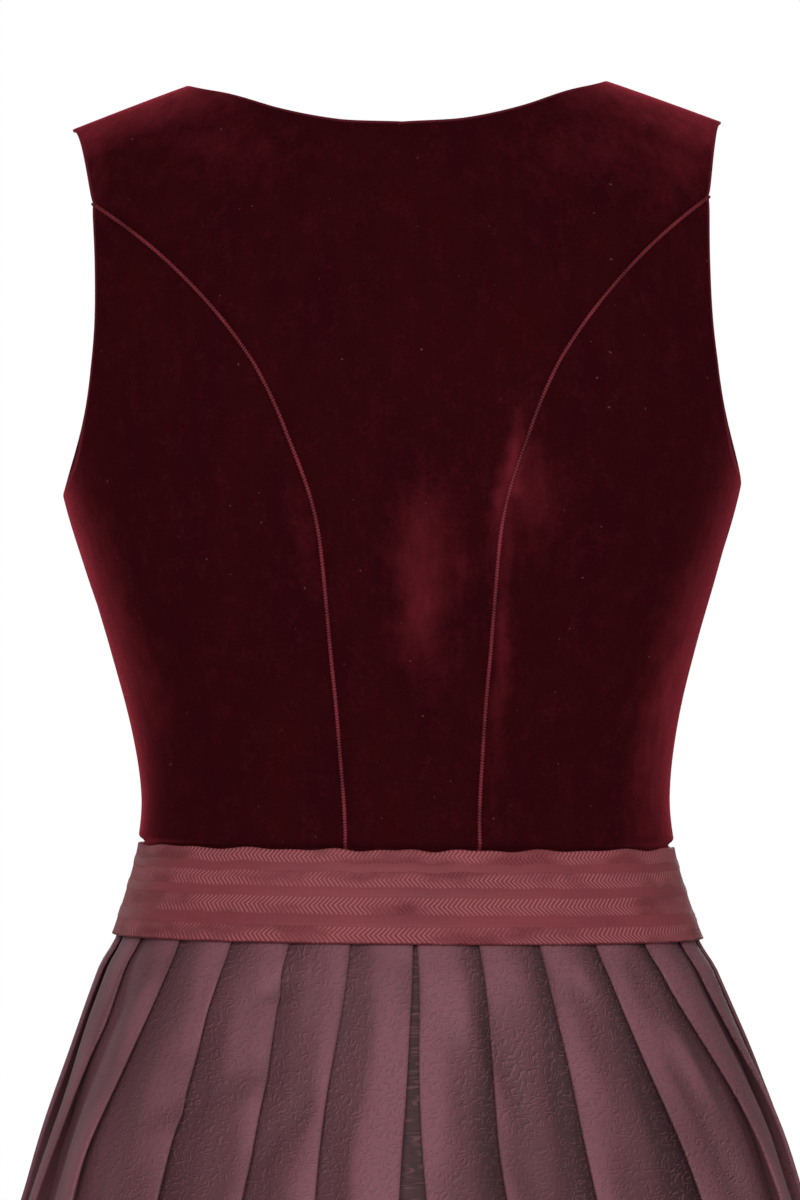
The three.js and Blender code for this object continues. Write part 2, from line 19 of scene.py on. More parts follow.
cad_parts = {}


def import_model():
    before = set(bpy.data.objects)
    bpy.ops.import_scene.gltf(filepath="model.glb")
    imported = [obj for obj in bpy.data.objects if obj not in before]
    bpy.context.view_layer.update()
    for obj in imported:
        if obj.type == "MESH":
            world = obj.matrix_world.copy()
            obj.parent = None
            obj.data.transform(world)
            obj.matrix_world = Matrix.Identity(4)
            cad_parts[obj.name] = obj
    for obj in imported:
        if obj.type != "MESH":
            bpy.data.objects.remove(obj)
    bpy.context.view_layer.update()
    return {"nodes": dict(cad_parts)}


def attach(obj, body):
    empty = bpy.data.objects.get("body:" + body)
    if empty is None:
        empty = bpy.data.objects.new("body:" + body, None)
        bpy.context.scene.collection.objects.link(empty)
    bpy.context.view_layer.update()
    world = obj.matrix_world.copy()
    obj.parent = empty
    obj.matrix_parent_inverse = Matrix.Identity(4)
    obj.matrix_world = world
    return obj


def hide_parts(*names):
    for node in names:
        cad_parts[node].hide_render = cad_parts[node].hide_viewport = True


Triple = tuple[float, float, float]  # a colour, or a place or way along x, y and z
Socket = bpy.types.NodeSocket

LOG = logging.getLogger("dress")
MM = 0.001  # metres in a millimetre
BODY = "root"  # cloth has no joints, so every piece rides on the one body
CREASE_END_LOSS = 0.55  # how much weaker a crease is at its ends than in its middle
CREASE_END_POWER = 2.5


class Side(Enum):
    """The wearer's left and right, with the sign of their x."""

    LEFT = 1
    RIGHT = -1


class Slot(Enum):
    """The pieces' material slots."""

    VELVET = "velvet"
    CORD = "cord"
    BAND = "band"
    JACQUARD = "jacquard"


class Section(NamedTuple):
    """A horizontal section of the figure.

    side is half the width, back and front are the depths behind and before y = 0, middle is the y
    of the widest line, and the squares are the superellipse powers: 2 is an ellipse.
    """

    z: float
    side: float
    back: float
    front: float
    middle: float
    square_back: float
    square_front: float


class Place(NamedTuple):
    """A point x, z of a seam or edge on the bodice's outer face; x is half of a pair."""

    x: float
    z: float


class Crease(NamedTuple):
    """A soft trough or ridge laid on a hanging cloth.

    It runs from one end to the other, each a turn in degrees from the centre back towards the
    wearer's left and a height z. width is how far it spreads, and depth is positive for a ridge.
    """

    turn_a: float
    z_a: float
    turn_b: float
    z_b: float
    width: float
    depth: float


def smooth_step(start: float, end: float, value: np.ndarray) -> np.ndarray:
    """Rises from 0 at start to 1 at end as 3t^2 - 2t^3.

    Args:
        start: Where the step is 0.
        end: Where the step is 1; it may be below start.
        value: The places to read.

    Returns:
        The step at each place.
    """
    t = np.clip((np.asarray(value, float) - start) / (end - start), 0, 1)
    return t * t * (3 - 2 * t)


def through_rows(heights: np.ndarray, values: np.ndarray, z: np.ndarray) -> np.ndarray:
    """Reads a smooth curve through a table's rows.

    Between two rows it is the cubic that has their values and, at each, the slope of the line
    between the rows around it. Past the ends it keeps the end value.

    Args:
        heights: The rows' heights, falling.
        values: The rows' values.
        z: Where to read the curve.

    Returns:
        The curve's value at each z.
    """
    heights = np.asarray(heights, float)
    values = np.asarray(values, float)
    last = len(heights) - 1
    rows = np.arange(last + 1)
    above = np.maximum(rows - 1, 0)
    below = np.minimum(rows + 1, last)
    slopes = (values[above] - values[below]) / (heights[above] - heights[below])
    inside = np.clip(np.asarray(z, float), heights[last], heights[0])
    k = np.clip(np.searchsorted(-heights, -inside) - 1, 0, last - 1)
    span = heights[k + 1] - heights[k]
    t = (inside - heights[k]) / span
    return (
        values[k] * (1 - t) ** 2 * (1 + 2 * t)
        + values[k + 1] * t * t * (3 - 2 * t)
        + slopes[k] * span * t * (1 - t) ** 2
        - slopes[k + 1] * span * t * t * (1 - t)
    )


def crease_relief(
    creases: Sequence[Crease], turn: np.ndarray, z: np.ndarray, reach: np.ndarray
) -> np.ndarray:
    """Adds up creases on a cloth that goes round the figure.

    Each crease is depth times exp(-(d / width)^2), where d is the distance to its line in the
    plane of turn times reach and z. It is weaker towards both ends of the line.

    Args:
        creases: The creases.
        turn: Radians from the centre back, positive towards the wearer's left.
        z: Heights.
        reach: The cloth's distance from the middle, which turns an angle into a length.

    Returns:
        How far each place moves outwards.
    """
    moved = np.zeros(np.broadcast(turn, z, reach).shape)
    for crease in creases:
        start = math.radians(crease.turn_a)
        end = math.radians(crease.turn_b)
        away = (turn - start + math.pi) % (2 * math.pi) - math.pi
        along_x = (end - start) * reach
        along_z = crease.z_b - crease.z_a
        length = np.maximum(along_x**2 + along_z**2, 1e-6)
        t = np.clip((away * reach * along_x + (z - crease.z_a) * along_z) / length, 0, 1)
        distance = np.hypot(away * reach - t * along_x, z - crease.z_a - t * along_z)
        strength = 1 - CREASE_END_LOSS * np.abs(2 * t - 1) ** CREASE_END_POWER
        moved += crease.depth * strength * np.exp(-((distance / crease.width) ** 2))
    return moved


@dataclass
class Figure:
    """The figure that the dress is cut for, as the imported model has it."""

    sections: tuple[Section, ...] = (
        Section(-140, 180, 96, 112, 0, 2.3, 2.3),
        Section(-200, 170.5, 98, 128, -6, 2.3, 2.4),
        Section(-240, 159.5, 94, 136, -10, 2.3, 2.6),
        Section(-280, 147.5, 85, 126, -13, 2.25, 2.5),
        Section(-320, 137.5, 76, 110, -15, 2.2, 2.3),
        Section(-355, 133, 72, 101, -15, 2.2, 2.2),
        Section(-381, 135.5, 75, 102, -14, 2.2, 2.2),
        Section(-405, 142, 81, 106, -13, 2.2, 2.2),
        Section(-429, 150.5, 90, 112, -12, 2.2, 2.2),
        Section(-480, 171, 111, 128, -10, 2.15, 2.15),
        Section(-537, 191.5, 134, 148, -8, 2.1, 2.1),
        Section(-640, 222, 174, 184, -6, 2.1, 2.1),
        Section(-780, 249, 212, 220, -4, 2.05, 2.05),
        Section(-950, 273, 243, 250, -3, 2, 2),
        Section(-1130, 291, 265, 270, -3, 2, 2),
    )
    waist_seam: float = -402
    waist_slope: float = 0.026  # the waist sits a little higher on the wearer's left
    waist_slope_fade: float = 110

    def column(self, name: str, z: np.ndarray) -> np.ndarray:
        """Reads one column of the sections at heights z.

        Args:
            name: The column.
            z: Heights.

        Returns:
            The smooth curve through that column, at each height.
        """
        heights = np.array([section.z for section in self.sections])
        values = np.array([getattr(section, name) for section in self.sections])
        return through_rows(heights, values, z)

    def outline(self, z: np.ndarray, turn: np.ndarray) -> tuple[np.ndarray, np.ndarray, np.ndarray]:
        """The figure's outline: a superellipse with its own depth behind and before the middle.

        Args:
            z: Heights.
            turn: Radians from the centre back, positive towards the wearer's left.

        Returns:
            x, y counted from the middle, and the middle's own y.
        """
        behind = np.cos(turn) >= 0
        middle = self.column("middle", z)
        side = self.column("side", z)
        depth = np.where(behind, self.column("back", z) - middle, self.column("front", z) + middle)
        power = np.where(behind, self.column("square_back", z), self.column("square_front", z))
        across = np.abs(np.sin(turn) / side) ** power
        along = np.abs(np.cos(turn) / depth) ** power
        reach = (across + along) ** (-1 / power)
        return reach * np.sin(turn), reach * np.cos(turn), middle

    def settle(self, points: np.ndarray) -> np.ndarray:
        """Raises points near the waist with x times the waist's slope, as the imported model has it.

        Args:
            points: Points x, y, z.

        Returns:
            The raised points.
        """
        settled = points.copy()
        fade = smooth_step(self.waist_slope_fade, 0, np.abs(points[..., 2] - self.waist_seam))
        settled[..., 2] += self.waist_slope * points[..., 0] * fade
        return settled


@dataclass
class Cloth:
    """A sheet of cloth between two grids of points that match, ready to become a mesh.

    outer and inner have the shape rows, columns, 3. Rows go up and columns go leftwards as seen
    from outside. chart holds the cloth's own flat coordinates and edge the distance to its
    nearest finished edge, both in millimetres. sunk is 0 on a fold's crest and 1 in its hollow;
    the skirt's painted highlight and painted shade follow it.
    """

    outer: np.ndarray
    inner: np.ndarray
    chart: np.ndarray
    edge: np.ndarray
    sunk: np.ndarray
    roundness: float = 0.7
    rim_steps: int = 3

    def border(self) -> np.ndarray:
        """The grid places around the border as flat indices, against the clock from outside.

        Returns:
            The flat indices.
        """
        rows, columns = self.outer.shape[:2]
        places = np.arange(rows * columns).reshape(rows, columns)
        return np.concatenate(
            [places[0, :-1], places[:-1, -1], places[-1, :0:-1], places[:0:-1, 0]]
        )

    def rim(self) -> list[np.ndarray]:
        """The loops of points that round the cloth's edge from the outer to the inner skin.

        Each loop is the middle of the wall, plus cos(a) times half the wall, plus sin(a) times the
        roundness away from the cloth, for equal steps of a from 0 to a half turn.

        Returns:
            The loops, from the outer skin to the inner one.
        """
        rows, columns = self.outer.shape[:2]
        loop = self.border()
        row, column = np.divmod(loop, columns)
        inner_row = np.clip(row, 1, rows - 2)
        inner_column = np.clip(column, 1, columns - 2)
        half = (self.outer[row, column] - self.inner[row, column]) / 2
        middle = (self.outer[row, column] + self.inner[row, column]) / 2
        away = unit(self.outer[row, column] - self.outer[inner_row, inner_column])
        angles = np.pi * np.arange(1, self.rim_steps + 1) / (self.rim_steps + 1)
        return [
            middle + np.cos(angle) * half + np.sin(angle) * self.roundness * away
            for angle in angles
        ]

    def mesh(self, name: str) -> bpy.types.Object:
        """Makes the closed mesh: outer skin, rounded rim and inner skin.

        Args:
            name: The piece's name.

        Returns:
            The new object, with the UV map "chart" and the attributes "edge" and "sunk".
        """
        rows, columns = self.outer.shape[:2]
        count = rows * columns
        loop = self.border()
        rims = self.rim()
        points = np.concatenate([self.outer.reshape(-1, 3), self.inner.reshape(-1, 3), *rims])
        lower = np.arange(count).reshape(rows, columns)[:-1, :-1].ravel()
        front = np.stack([lower, lower + columns, lower + columns + 1, lower + 1], 1)
        faces = [front, front[:, ::-1] + count]
        loops = [loop]
        loops += [2 * count + k * len(loop) + np.arange(len(loop)) for k in range(len(rims))]
        loops.append(loop + count)
        for near, far in zip(loops[:-1], loops[1:]):
            faces.append(np.stack([near, np.roll(near, -1), np.roll(far, -1), far], 1))
        source = np.concatenate([np.arange(count), np.arange(count), *([loop] * len(rims))])
        marks = {"edge": self.edge.reshape(-1)[source] * MM, "sunk": self.sunk.reshape(-1)[source]}
        chart = self.chart.reshape(-1, 2)[source]
        return make_object(name, points, np.concatenate(faces), chart, marks)


def make_object(
    name: str, points: np.ndarray, faces: np.ndarray, chart: np.ndarray, marks: dict[str, np.ndarray]
) -> bpy.types.Object:
    """Puts whole arrays into a mesh of quads and links its object to the scene.

    Args:
        name: The object's name.
        points: Vertices in millimetres.
        faces: Four vertex numbers for each face, against the clock from outside.
        chart: Each vertex's flat coordinates in millimetres.
        marks: Numbers for each vertex, by the name of the attribute that carries them.

    Returns:
        The object, at the origin and smoothly shaded.
    """
    mesh = bpy.data.meshes.new(name)
    mesh.vertices.add(len(points))
    mesh.vertices.foreach_set("co", (points * MM).astype(np.float32).ravel())
    mesh.loops.add(faces.size)
    mesh.loops.foreach_set("vertex_index", faces.astype(np.int32).ravel())
    mesh.polygons.add(len(faces))
    mesh.polygons.foreach_set("loop_start", np.arange(0, faces.size, 4, dtype=np.int32))
    mesh.polygons.foreach_set("loop_total", np.full(len(faces), 4, dtype=np.int32))
    mesh.polygons.foreach_set("use_smooth", np.ones(len(faces), dtype=bool))
    uv = mesh.uv_layers.new(name="chart")
    uv.data.foreach_set("uv", (chart[faces.ravel()] * MM).astype(np.float32).ravel())
    for mark, values in marks.items():
        mesh.attributes.new(mark, "FLOAT", "POINT").data.foreach_set("value", values.astype(np.float32))
    mesh.update(calc_edges=True)
    mesh.validate()
    piece = bpy.data.objects.new(name, mesh)
    bpy.context.scene.collection.objects.link(piece)
    return piece


def unit(ways: np.ndarray) -> np.ndarray:
    """The same ways with length 1, along the last axis."""
    return ways / np.maximum(np.linalg.norm(ways, axis=-1, keepdims=True), 1e-9)


def row_lengths(grid: np.ndarray) -> np.ndarray:
    """The running length along each row of a grid of points, from 0 at its first column."""
    steps = np.linalg.norm(np.diff(grid, axis=1), axis=2)
    return np.concatenate([np.zeros((len(grid), 1)), np.cumsum(steps, axis=1)], axis=1)


def line_lengths(points: np.ndarray) -> np.ndarray:
    """The running length along a line of points, from 0 at its first point."""
    return row_lengths(points[None])[0]


def ring_faces(rows: int, around: int) -> np.ndarray:
    """The quads between closed rings of points, each along its ring and then on to the next one.

    Args:
        rows: How many rings there are.
        around: How many points a ring has.

    Returns:
        Four point numbers for each quad.
    """
    start = np.arange(rows * around).reshape(rows, around)
    low, high = start[:-1], start[1:]
    return np.stack([low, np.roll(low, -1, 1), np.roll(high, -1, 1), high], -1).reshape(-1, 4)


def drawn_in(grid: np.ndarray, by: float) -> np.ndarray:
    """Shortens a grid's rows and then its columns at both ends, with its points still evenly shared.

    A point at length s of a line of length L goes to length by + s (L - 2 by) / L of that line.

    Args:
        grid: Rows and columns of points.
        by: How much each end loses.

    Returns:
        The smaller grid.
    """
    moved = grid
    for _ in range(2):
        length = row_lengths(moved)
        whole = length[:, -1:]
        wanted = by + length * (whole - 2 * by) / whole
        rows = [
            [np.interp(wanted[k], length[k], moved[k, :, axis]) for axis in range(3)]
            for k in range(len(moved))
        ]
        moved = np.array(rows).transpose(2, 0, 1)
    return moved


def relaxed(grid: np.ndarray, rounds: int) -> np.ndarray:
    """Evens out a grid inside its fixed border: each round a point goes to its neighbours' middle.

    Args:
        grid: Rows and columns of points.
        rounds: How many rounds there are.

    Returns:
        The evened grid.
    """
    even = grid.copy()
    for _ in range(rounds):
        even[1:-1, 1:-1] = (even[:-2, 1:-1] + even[2:, 1:-1] + even[1:-1, :-2] + even[1:-1, 2:]) / 4
    return even


class Grain(NamedTuple):
    """A noise over a surface: its scale for each metre, its detail, its roughness and its stretch."""

    scale: float
    detail: float = 2
    roughness: float = 0.5
    stretch: Triple = (1, 1, 1)


class Sheen(NamedTuple):
    """The light that a cloth's nap throws back at its outline."""

    weight: float
    roughness: float
    tint: Triple


class Finish:
    """The node network of one material, with a shader that the finish dresses."""

    def __init__(self, name: str) -> None:
        """Starts an empty material of that name with a Principled shader on its output.

        Args:
            name: The name of the material.
        """
        self.material = bpy.data.materials.new(name)
        self.material.use_nodes = True
        self.tree = self.material.node_tree
        self.tree.nodes.clear()
        self.shader = self.node("ShaderNodeBsdfPrincipled")
        self.node("ShaderNodeOutputMaterial", inputs={"Surface": self.shader.outputs["BSDF"]})

    def node(
        self, kind: str, settings: dict[str, Any] | None = None, inputs: dict[Any, Any] | None = None
    ) -> bpy.types.Node:
        """Adds a node, sets its settings and then fills its sockets.

        Args:
            kind: The node's type.
            settings: Its attributes.
            inputs: A value, socket or Value for each socket, by name or number.

        Returns:
            The node.
        """
        made = self.tree.nodes.new(kind)
        for key, value in (settings or {}).items():
            setattr(made, key, value)
        self.fill(made, inputs or {})
        return made

    def fill(self, node: bpy.types.Node, inputs: dict[Any, Any]) -> None:
        """Fills a node's sockets: a socket or Value is linked, and a constant is set on the socket.

        Args:
            node: The node.
            inputs: What goes into each socket, by name or number.
        """
        for key, value in inputs.items():
            if isinstance(value, Value):
                value = value.socket
            if isinstance(value, Socket):
                self.tree.links.new(value, node.inputs[key])
            else:
                node.inputs[key].default_value = value

    def surface(
        self,
        colour: Socket,
        roughness: Any,
        specular: float,
        normal: Socket,
        sheen: Sheen | None = None,
    ) -> Finish:
        """Fills the shader's sockets.

        Args:
            colour: The base colour.
            roughness: The roughness, as a number or a Value.
            specular: How much light the surface mirrors.
            normal: The bumped normal.
            sheen: The sheen of its nap, where it has one.

        Returns:
            This finish, ready to dress a piece.
        """
        inputs = {
            "Base Color": colour,
            "Roughness": roughness,
            "Specular IOR Level": specular,
            "Normal": normal,
        }
        if sheen:
            inputs["Sheen Weight"] = sheen.weight
            inputs["Sheen Roughness"] = sheen.roughness
            inputs["Sheen Tint"] = (*sheen.tint, 1)
        self.fill(self.shader, inputs)
        return self

    def value(self, socket: Socket) -> Value:
        """Wraps a socket so that arithmetic on it adds Math nodes."""
        return Value(self, socket)

    def object_place(self) -> Socket:
        """The place on the object, in metres."""
        return self.node("ShaderNodeTexCoord").outputs["Object"]

    def chart_place(self) -> Socket:
        """The place on the flat cloth, in metres."""
        return self.node("ShaderNodeUVMap", {"uv_map": "chart"}).outputs["UV"]

    def parts(self, vector: Socket) -> tuple[Value, Value, Value]:
        """A vector's three numbers.

        Args:
            vector: The vector.

        Returns:
            Its x, y and z.
        """
        split = self.node("ShaderNodeSeparateXYZ", inputs={0: vector})
        x, y, z = (self.value(output) for output in split.outputs)
        return x, y, z

    def stretched(self, vector: Socket, scale: Sequence[float]) -> Socket:
        """A vector multiplied by a scale along each axis."""
        return self.vector_math("MULTIPLY", vector, scale)

    def shifted(self, vector: Socket, by: Any) -> Socket:
        """A vector plus another."""
        return self.vector_math("ADD", vector, by)

    def vector_math(self, operation: str, first: Any, second: Any) -> Socket:
        """The result of a Vector Math node with two inputs."""
        made = self.node("ShaderNodeVectorMath", {"operation": operation}, {0: first, 1: second})
        return made.outputs[0]

    def noise(self, vector: Socket, grain: Grain) -> Value:
        """Fractal noise from 0 to 1 with features of about 1 / scale.

        Args:
            vector: Where it is read.
            grain: Its scale, detail, roughness and stretch.

        Returns:
            The noise.
        """
        place = vector if grain.stretch == (1, 1, 1) else self.stretched(vector, grain.stretch)
        inputs = {"Vector": place, "Scale": grain.scale, "Detail": grain.detail}
        inputs["Roughness"] = grain.roughness
        return self.value(self.node("ShaderNodeTexNoise", inputs=inputs).outputs["Fac"])

    def wander(self, vector: Socket, scale: float, reach: float) -> Socket:
        """A vector pushed about by noise, up to half of reach each way.

        Args:
            vector: A place.
            scale: How many waves of the noise a metre holds, about.
            reach: How far the place is pushed, in metres.

        Returns:
            The pushed place.
        """
        made = self.node("ShaderNodeTexNoise", inputs={"Vector": vector, "Scale": scale, "Detail": 1.0})
        centred = self.shifted(made.outputs["Color"], (-0.5, -0.5, -0.5))
        return self.shifted(vector, self.stretched(centred, (reach, reach, reach)))

    def blend(self, share: Any, first: Any, second: Any) -> Socket:
        """Mixes two colours by a share from 0 to 1.

        Args:
            share: 0 for the first colour and 1 for the second.
            first: A colour or a socket.
            second: A colour or a socket.

        Returns:
            The mixed colour.
        """
        colours = [(*c, 1.0) if isinstance(c, tuple) else c for c in (first, second)]
        inputs = {0: share, 6: colours[0], 7: colours[1]}
        return self.node("ShaderNodeMix", {"data_type": "RGBA"}, inputs).outputs[2]

    def attribute(self, name: str) -> Value:
        """A number stored on the mesh's points."""
        return self.value(self.node("ShaderNodeAttribute", {"attribute_name": name}).outputs["Fac"])

    def bump(self, height: Value, distance: float, strength: float, after: Any = None) -> Socket:
        """Turns a height from 0 to 1 into a normal.

        Args:
            height: The height.
            distance: How high 1 is, in metres.
            strength: How much of the bump is used.
            after: Another bump's normal, on which this one lies.

        Returns:
            The normal socket.
        """
        inputs: dict[Any, Any] = {"Height": height, "Distance": distance, "Strength": strength}
        if after is not None:
            inputs["Normal"] = after
        return self.node("ShaderNodeBump", inputs=inputs).outputs["Normal"]

    def dress(self, piece: bpy.types.Object) -> None:
        """Gives a piece this finish and no other."""
        piece.data.materials.clear()
        piece.data.materials.append(self.material)


class Value:
    """A number that varies over a surface; arithmetic on it adds Math nodes."""

    def __init__(self, finish: Finish, socket: Socket) -> None:
        """Keeps the network and the socket that gives the number."""
        self.finish = finish
        self.socket = socket

    def math(self, operation: str, *others: Any) -> Value:
        """Adds a Math node that takes this number first.

        Args:
            operation: The Math node's operation.
            *others: Its other numbers.

        Returns:
            The result.
        """
        inputs = {k: other for k, other in enumerate((self, *others))}
        made = self.finish.node("ShaderNodeMath", {"operation": operation}, inputs)
        return Value(self.finish, made.outputs[0])

    def __add__(self, other: Any) -> Value:
        """The sum."""
        return self.math("ADD", other)

    __radd__ = __add__

    def __sub__(self, other: Any) -> Value:
        """The difference."""
        return self.math("SUBTRACT", other)

    def __rsub__(self, other: float) -> Value:
        """The difference from a plain number."""
        return self.math("MULTIPLY_ADD", -1.0, other)

    def __mul__(self, other: Any) -> Value:
        """The product."""
        return self.math("MULTIPLY", other)

    __rmul__ = __mul__

    def __pow__(self, other: Any) -> Value:
        """The power."""
        return self.math("POWER", other)

    def __abs__(self) -> Value:
        """The size without its sign."""
        return self.math("ABSOLUTE")

    def sine(self) -> Value:
        """The sine of an angle in radians."""
        return self.math("SINE")

    def fraction(self) -> Value:
        """The part after the decimal point."""
        return self.math("FRACT")

    def lesser(self, other: Any) -> Value:
        """The smaller of two numbers."""
        return self.math("MINIMUM", other)

    def greater(self, other: Any) -> Value:
        """The larger of two numbers."""
        return self.math("MAXIMUM", other)

    def step(self, start: float, end: float) -> Value:
        """A smooth step from 0 at start to 1 at end.

        Args:
            start: Where the step is 0.
            end: Where the step is 1.

        Returns:
            The step.
        """
        made = self.finish.node(
            "ShaderNodeMapRange",
            {"interpolation_type": "SMOOTHSTEP"},
            {"Value": self, "From Min": start, "From Max": end},
        )
        return Value(self.finish, made.outputs["Result"])


class PaintedSheen(NamedTuple):
    """A soft patch of painted sheen on the velvet, as a bell over the garment's x and z.

    wide and tall are how far it spreads, in metres like x and z, and tilt is how far it leans
    sideways for each metre that it rises.
    """

    x: float
    z: float
    wide: float
    tall: float
    tilt: float
    strength: float


@dataclass(frozen=True)
class Velvet:
    """Dark wine velvet, bright where its pile is seen from the side, with painted sheen in patches and on
    the shoulders.
    """

    deep: Triple = (0.0215, 0.0020, 0.0036)
    warm: Triple = (0.0285, 0.0023, 0.0030)
    # painted_sheen is the colour of the painted sheen; the fine mottle leans towards it too
    painted_sheen: Triple = (0.190, 0.0175, 0.0280)
    # rim is a painted highlight along the velvet's turned edges
    rim: Triple = (0.120, 0.015, 0.024)
    lint: Triple = (0.170, 0.070, 0.070)
    sheen: Sheen = Sheen(0.55, 0.36, (0.80, 0.085, 0.125))
    drag: Grain = Grain(42, 3, 0.6, (1, 1, 0.3))
    mottle: Grain = Grain(95, 3, 0.65)
    stroke: Grain = Grain(190, 3, 0.6, (1, 1, 0.22))
    clump: Grain = Grain(620, 2, 0.7)
    pile: Grain = Grain(1900, 2, 0.6)
    fluff: Grain = Grain(480, 0)
    shoulder: float = 0.62  # how much painted sheen the shoulders get where they turn over
    nap_height: float = 1.2 * MM
    pile_height: float = 0.25 * MM

    # The patches of painted sheen on the back, and then on the front.
    on_back: tuple[PaintedSheen, ...] = (
        PaintedSheen(-0.004, -0.258, 0.011, 0.030, 0.06, 0.30),
        PaintedSheen(-0.003, -0.222, 0.012, 0.022, -0.20, 0.16),
        PaintedSheen(-0.020, -0.236, 0.010, 0.028, 0.10, 0.10),
        PaintedSheen(-0.045, -0.262, 0.0045, 0.062, -0.06, 0.20),
        PaintedSheen(-0.049, -0.196, 0.0050, 0.026, -0.24, 0.42),
        PaintedSheen(-0.061, -0.204, 0.011, 0.024, 0.12, 0.20),
        PaintedSheen(0.157, -0.236, 0.011, 0.046, 0.32, 0.26),
        PaintedSheen(0.138, -0.292, 0.012, 0.036, 0.25, 0.20),
        PaintedSheen(-0.146, -0.262, 0.010, 0.056, -0.30, 0.30),
        PaintedSheen(-0.131, -0.314, 0.012, 0.044, -0.16, 0.34),
        PaintedSheen(-0.124, -0.356, 0.014, 0.030, -0.10, 0.12),
        PaintedSheen(0.052, -0.225, 0.006, 0.020, 0.20, 0.08),
        PaintedSheen(0.092, -0.030, 0.030, 0.016, 0.6, 0.10),
        PaintedSheen(-0.100, -0.030, 0.030, 0.018, -0.6, 0.12),
        PaintedSheen(0.156, -0.042, 0.010, 0.024, 0.1, 0.20),
        PaintedSheen(-0.140, -0.040, 0.016, 0.020, -0.3, 0.16),
    )
    on_front: tuple[PaintedSheen, ...] = (
        PaintedSheen(0.148, -0.250, 0.012, 0.050, 0.25, 0.34),
        PaintedSheen(-0.150, -0.262, 0.012, 0.046, -0.25, 0.34),
        PaintedSheen(0.072, -0.225, 0.014, 0.036, 0.20, 0.28),
        PaintedSheen(-0.060, -0.205, 0.015, 0.030, -0.30, 0.24),
        PaintedSheen(0.020, -0.300, 0.010, 0.030, 0.10, 0.22),
        PaintedSheen(0.128, -0.030, 0.016, 0.030, 0.3, 0.30),
        PaintedSheen(-0.132, -0.036, 0.014, 0.034, -0.3, 0.28),
    )

    def make(self) -> Finish:
        """Builds the finish: patches of painted sheen, a fine pile and a painted highlight on the turned
        edge.

        Returns:
            The finish.
        """
        finish = Finish("velvet")
        place = finish.object_place()
        drag, mottle, pile, clump, stroke = (
            finish.noise(place, grain)
            for grain in (self.drag, self.mottle, self.pile, self.clump, self.stroke)
        )
        patches = self.patches(finish, place)
        # painted sheen: the patches, streaked by noise
        streaked_sheen = patches * (0.10 + drag * 0.9 + stroke * 0.9) + (pile - 0.5) * 0.10 * (patches + 0.25)
        uneven = (mottle - 0.5) * 0.20 + (clump - 0.5) * 0.18 + (stroke - 0.5) * 0.12
        share = (streaked_sheen + uneven).lesser(1.0).greater(0.0)
        ground = finish.blend((drag - 0.35) * 1.8, self.deep, self.warm)
        colour = finish.blend(share, ground, self.painted_sheen)
        specks = finish.noise(finish.shifted(place, (0.31, 0.2, 0.7)), self.fluff).step(0.86, 0.90)
        colour = finish.blend(specks * 0.4, colour, self.lint)
        # painted highlight along the turned edges
        turned = 1 - finish.attribute("edge").step(0.6 * MM, 1.6 * MM)
        colour = finish.blend(turned * 0.75, colour, self.rim)
        nap = finish.bump(mottle * 0.5 + drag * 0.5, self.nap_height, 0.5)
        return finish.surface(
            colour, 1.0, 0.0, finish.bump(pile, self.pile_height, 0.6, nap), self.sheen
        )

    def patches(self, finish: Finish, place: Socket) -> Value:
        """How much painted sheen a place gets, in patches with wandering soft borders.

        Besides the patches, a strip of painted sheen lies along the shoulders where they turn over.

        Args:
            finish: The network.
            place: The place on the object.

        Returns:
            0 where no sheen is painted, and more where it is.
        """
        loose = finish.wander(finish.wander(place, 30, 0.012), 110, 0.007)
        x, y, z = finish.parts(loose)
        back = y.step(-0.03, 0.01)
        outwards = (abs(x) - 0.1065).greater(0.0)
        # painted sheen along the shoulders where they turn over
        strip = (z + outwards * 0.40).step(-0.021, 0.002) * abs(x).step(0.066, 0.116) * self.shoulder
        patches = self.bells(self.on_back, x, z) * back + self.bells(self.on_front, x, z) * (1 - back)
        return patches + strip

    @staticmethod
    def bells(patches: Sequence[PaintedSheen], x: Value, z: Value) -> Value:
        """Adds up strength times exp(-(across / wide)^2 - (up / tall)^2) over a table of patches.

        Args:
            patches: The table.
            x: Places along x.
            z: Heights.

        Returns:
            The sum.
        """
        whole = None
        for patch in patches:
            up = (z - patch.z) * (1 / patch.tall)
            across = (x - patch.x - (z - patch.z) * patch.tilt) * (1 / patch.wide)
            bell = (across * across * -1.0 - up * up).math("EXPONENT") * patch.strength
            whole = bell if whole is None else whole + bell
        return whole


@dataclass(frozen=True)
class CordSatin:
    """The satin of the twisted seam cords."""

    # deep is the satin in painted shade, lit the satin with painted highlight
    deep: Triple = (0.030, 0.0022, 0.0036)
    lit: Triple = (0.235, 0.0260, 0.0400)
    thread: float = 1.4 * MM  # the length in which a thread goes once round its strand
    girth: float = 6 * MM
    # worn marks the stretches with more painted highlight
    worn: Grain = Grain(60, 3)
    fibre: Grain = Grain(2600)
    fibre_height: float = 0.2 * MM

    def make(self) -> Finish:
        """Builds the finish: painted highlight and painted shade wind round the strands with the fine
        threads, and some stretches have more painted highlight.

        Returns:
            The finish.
        """
        finish = Finish("cord_satin")
        place = finish.object_place()
        along, around, _ = finish.parts(finish.chart_place())
        # painted highlight and painted shade along each thread, and stretches of painted highlight
        strand = ((along * (2 * math.pi / self.thread)) + around * (2 * math.pi / self.girth)).sine()
        share = (strand * 0.32 + finish.noise(place, self.worn) * 1.1 - 0.12).lesser(1.0).greater(0.0)
        colour = finish.blend(share, self.deep, self.lit)
        normal = finish.bump(finish.noise(place, self.fibre), self.fibre_height, 0.5)
        return finish.surface(colour, 0.6, 0.12, normal)


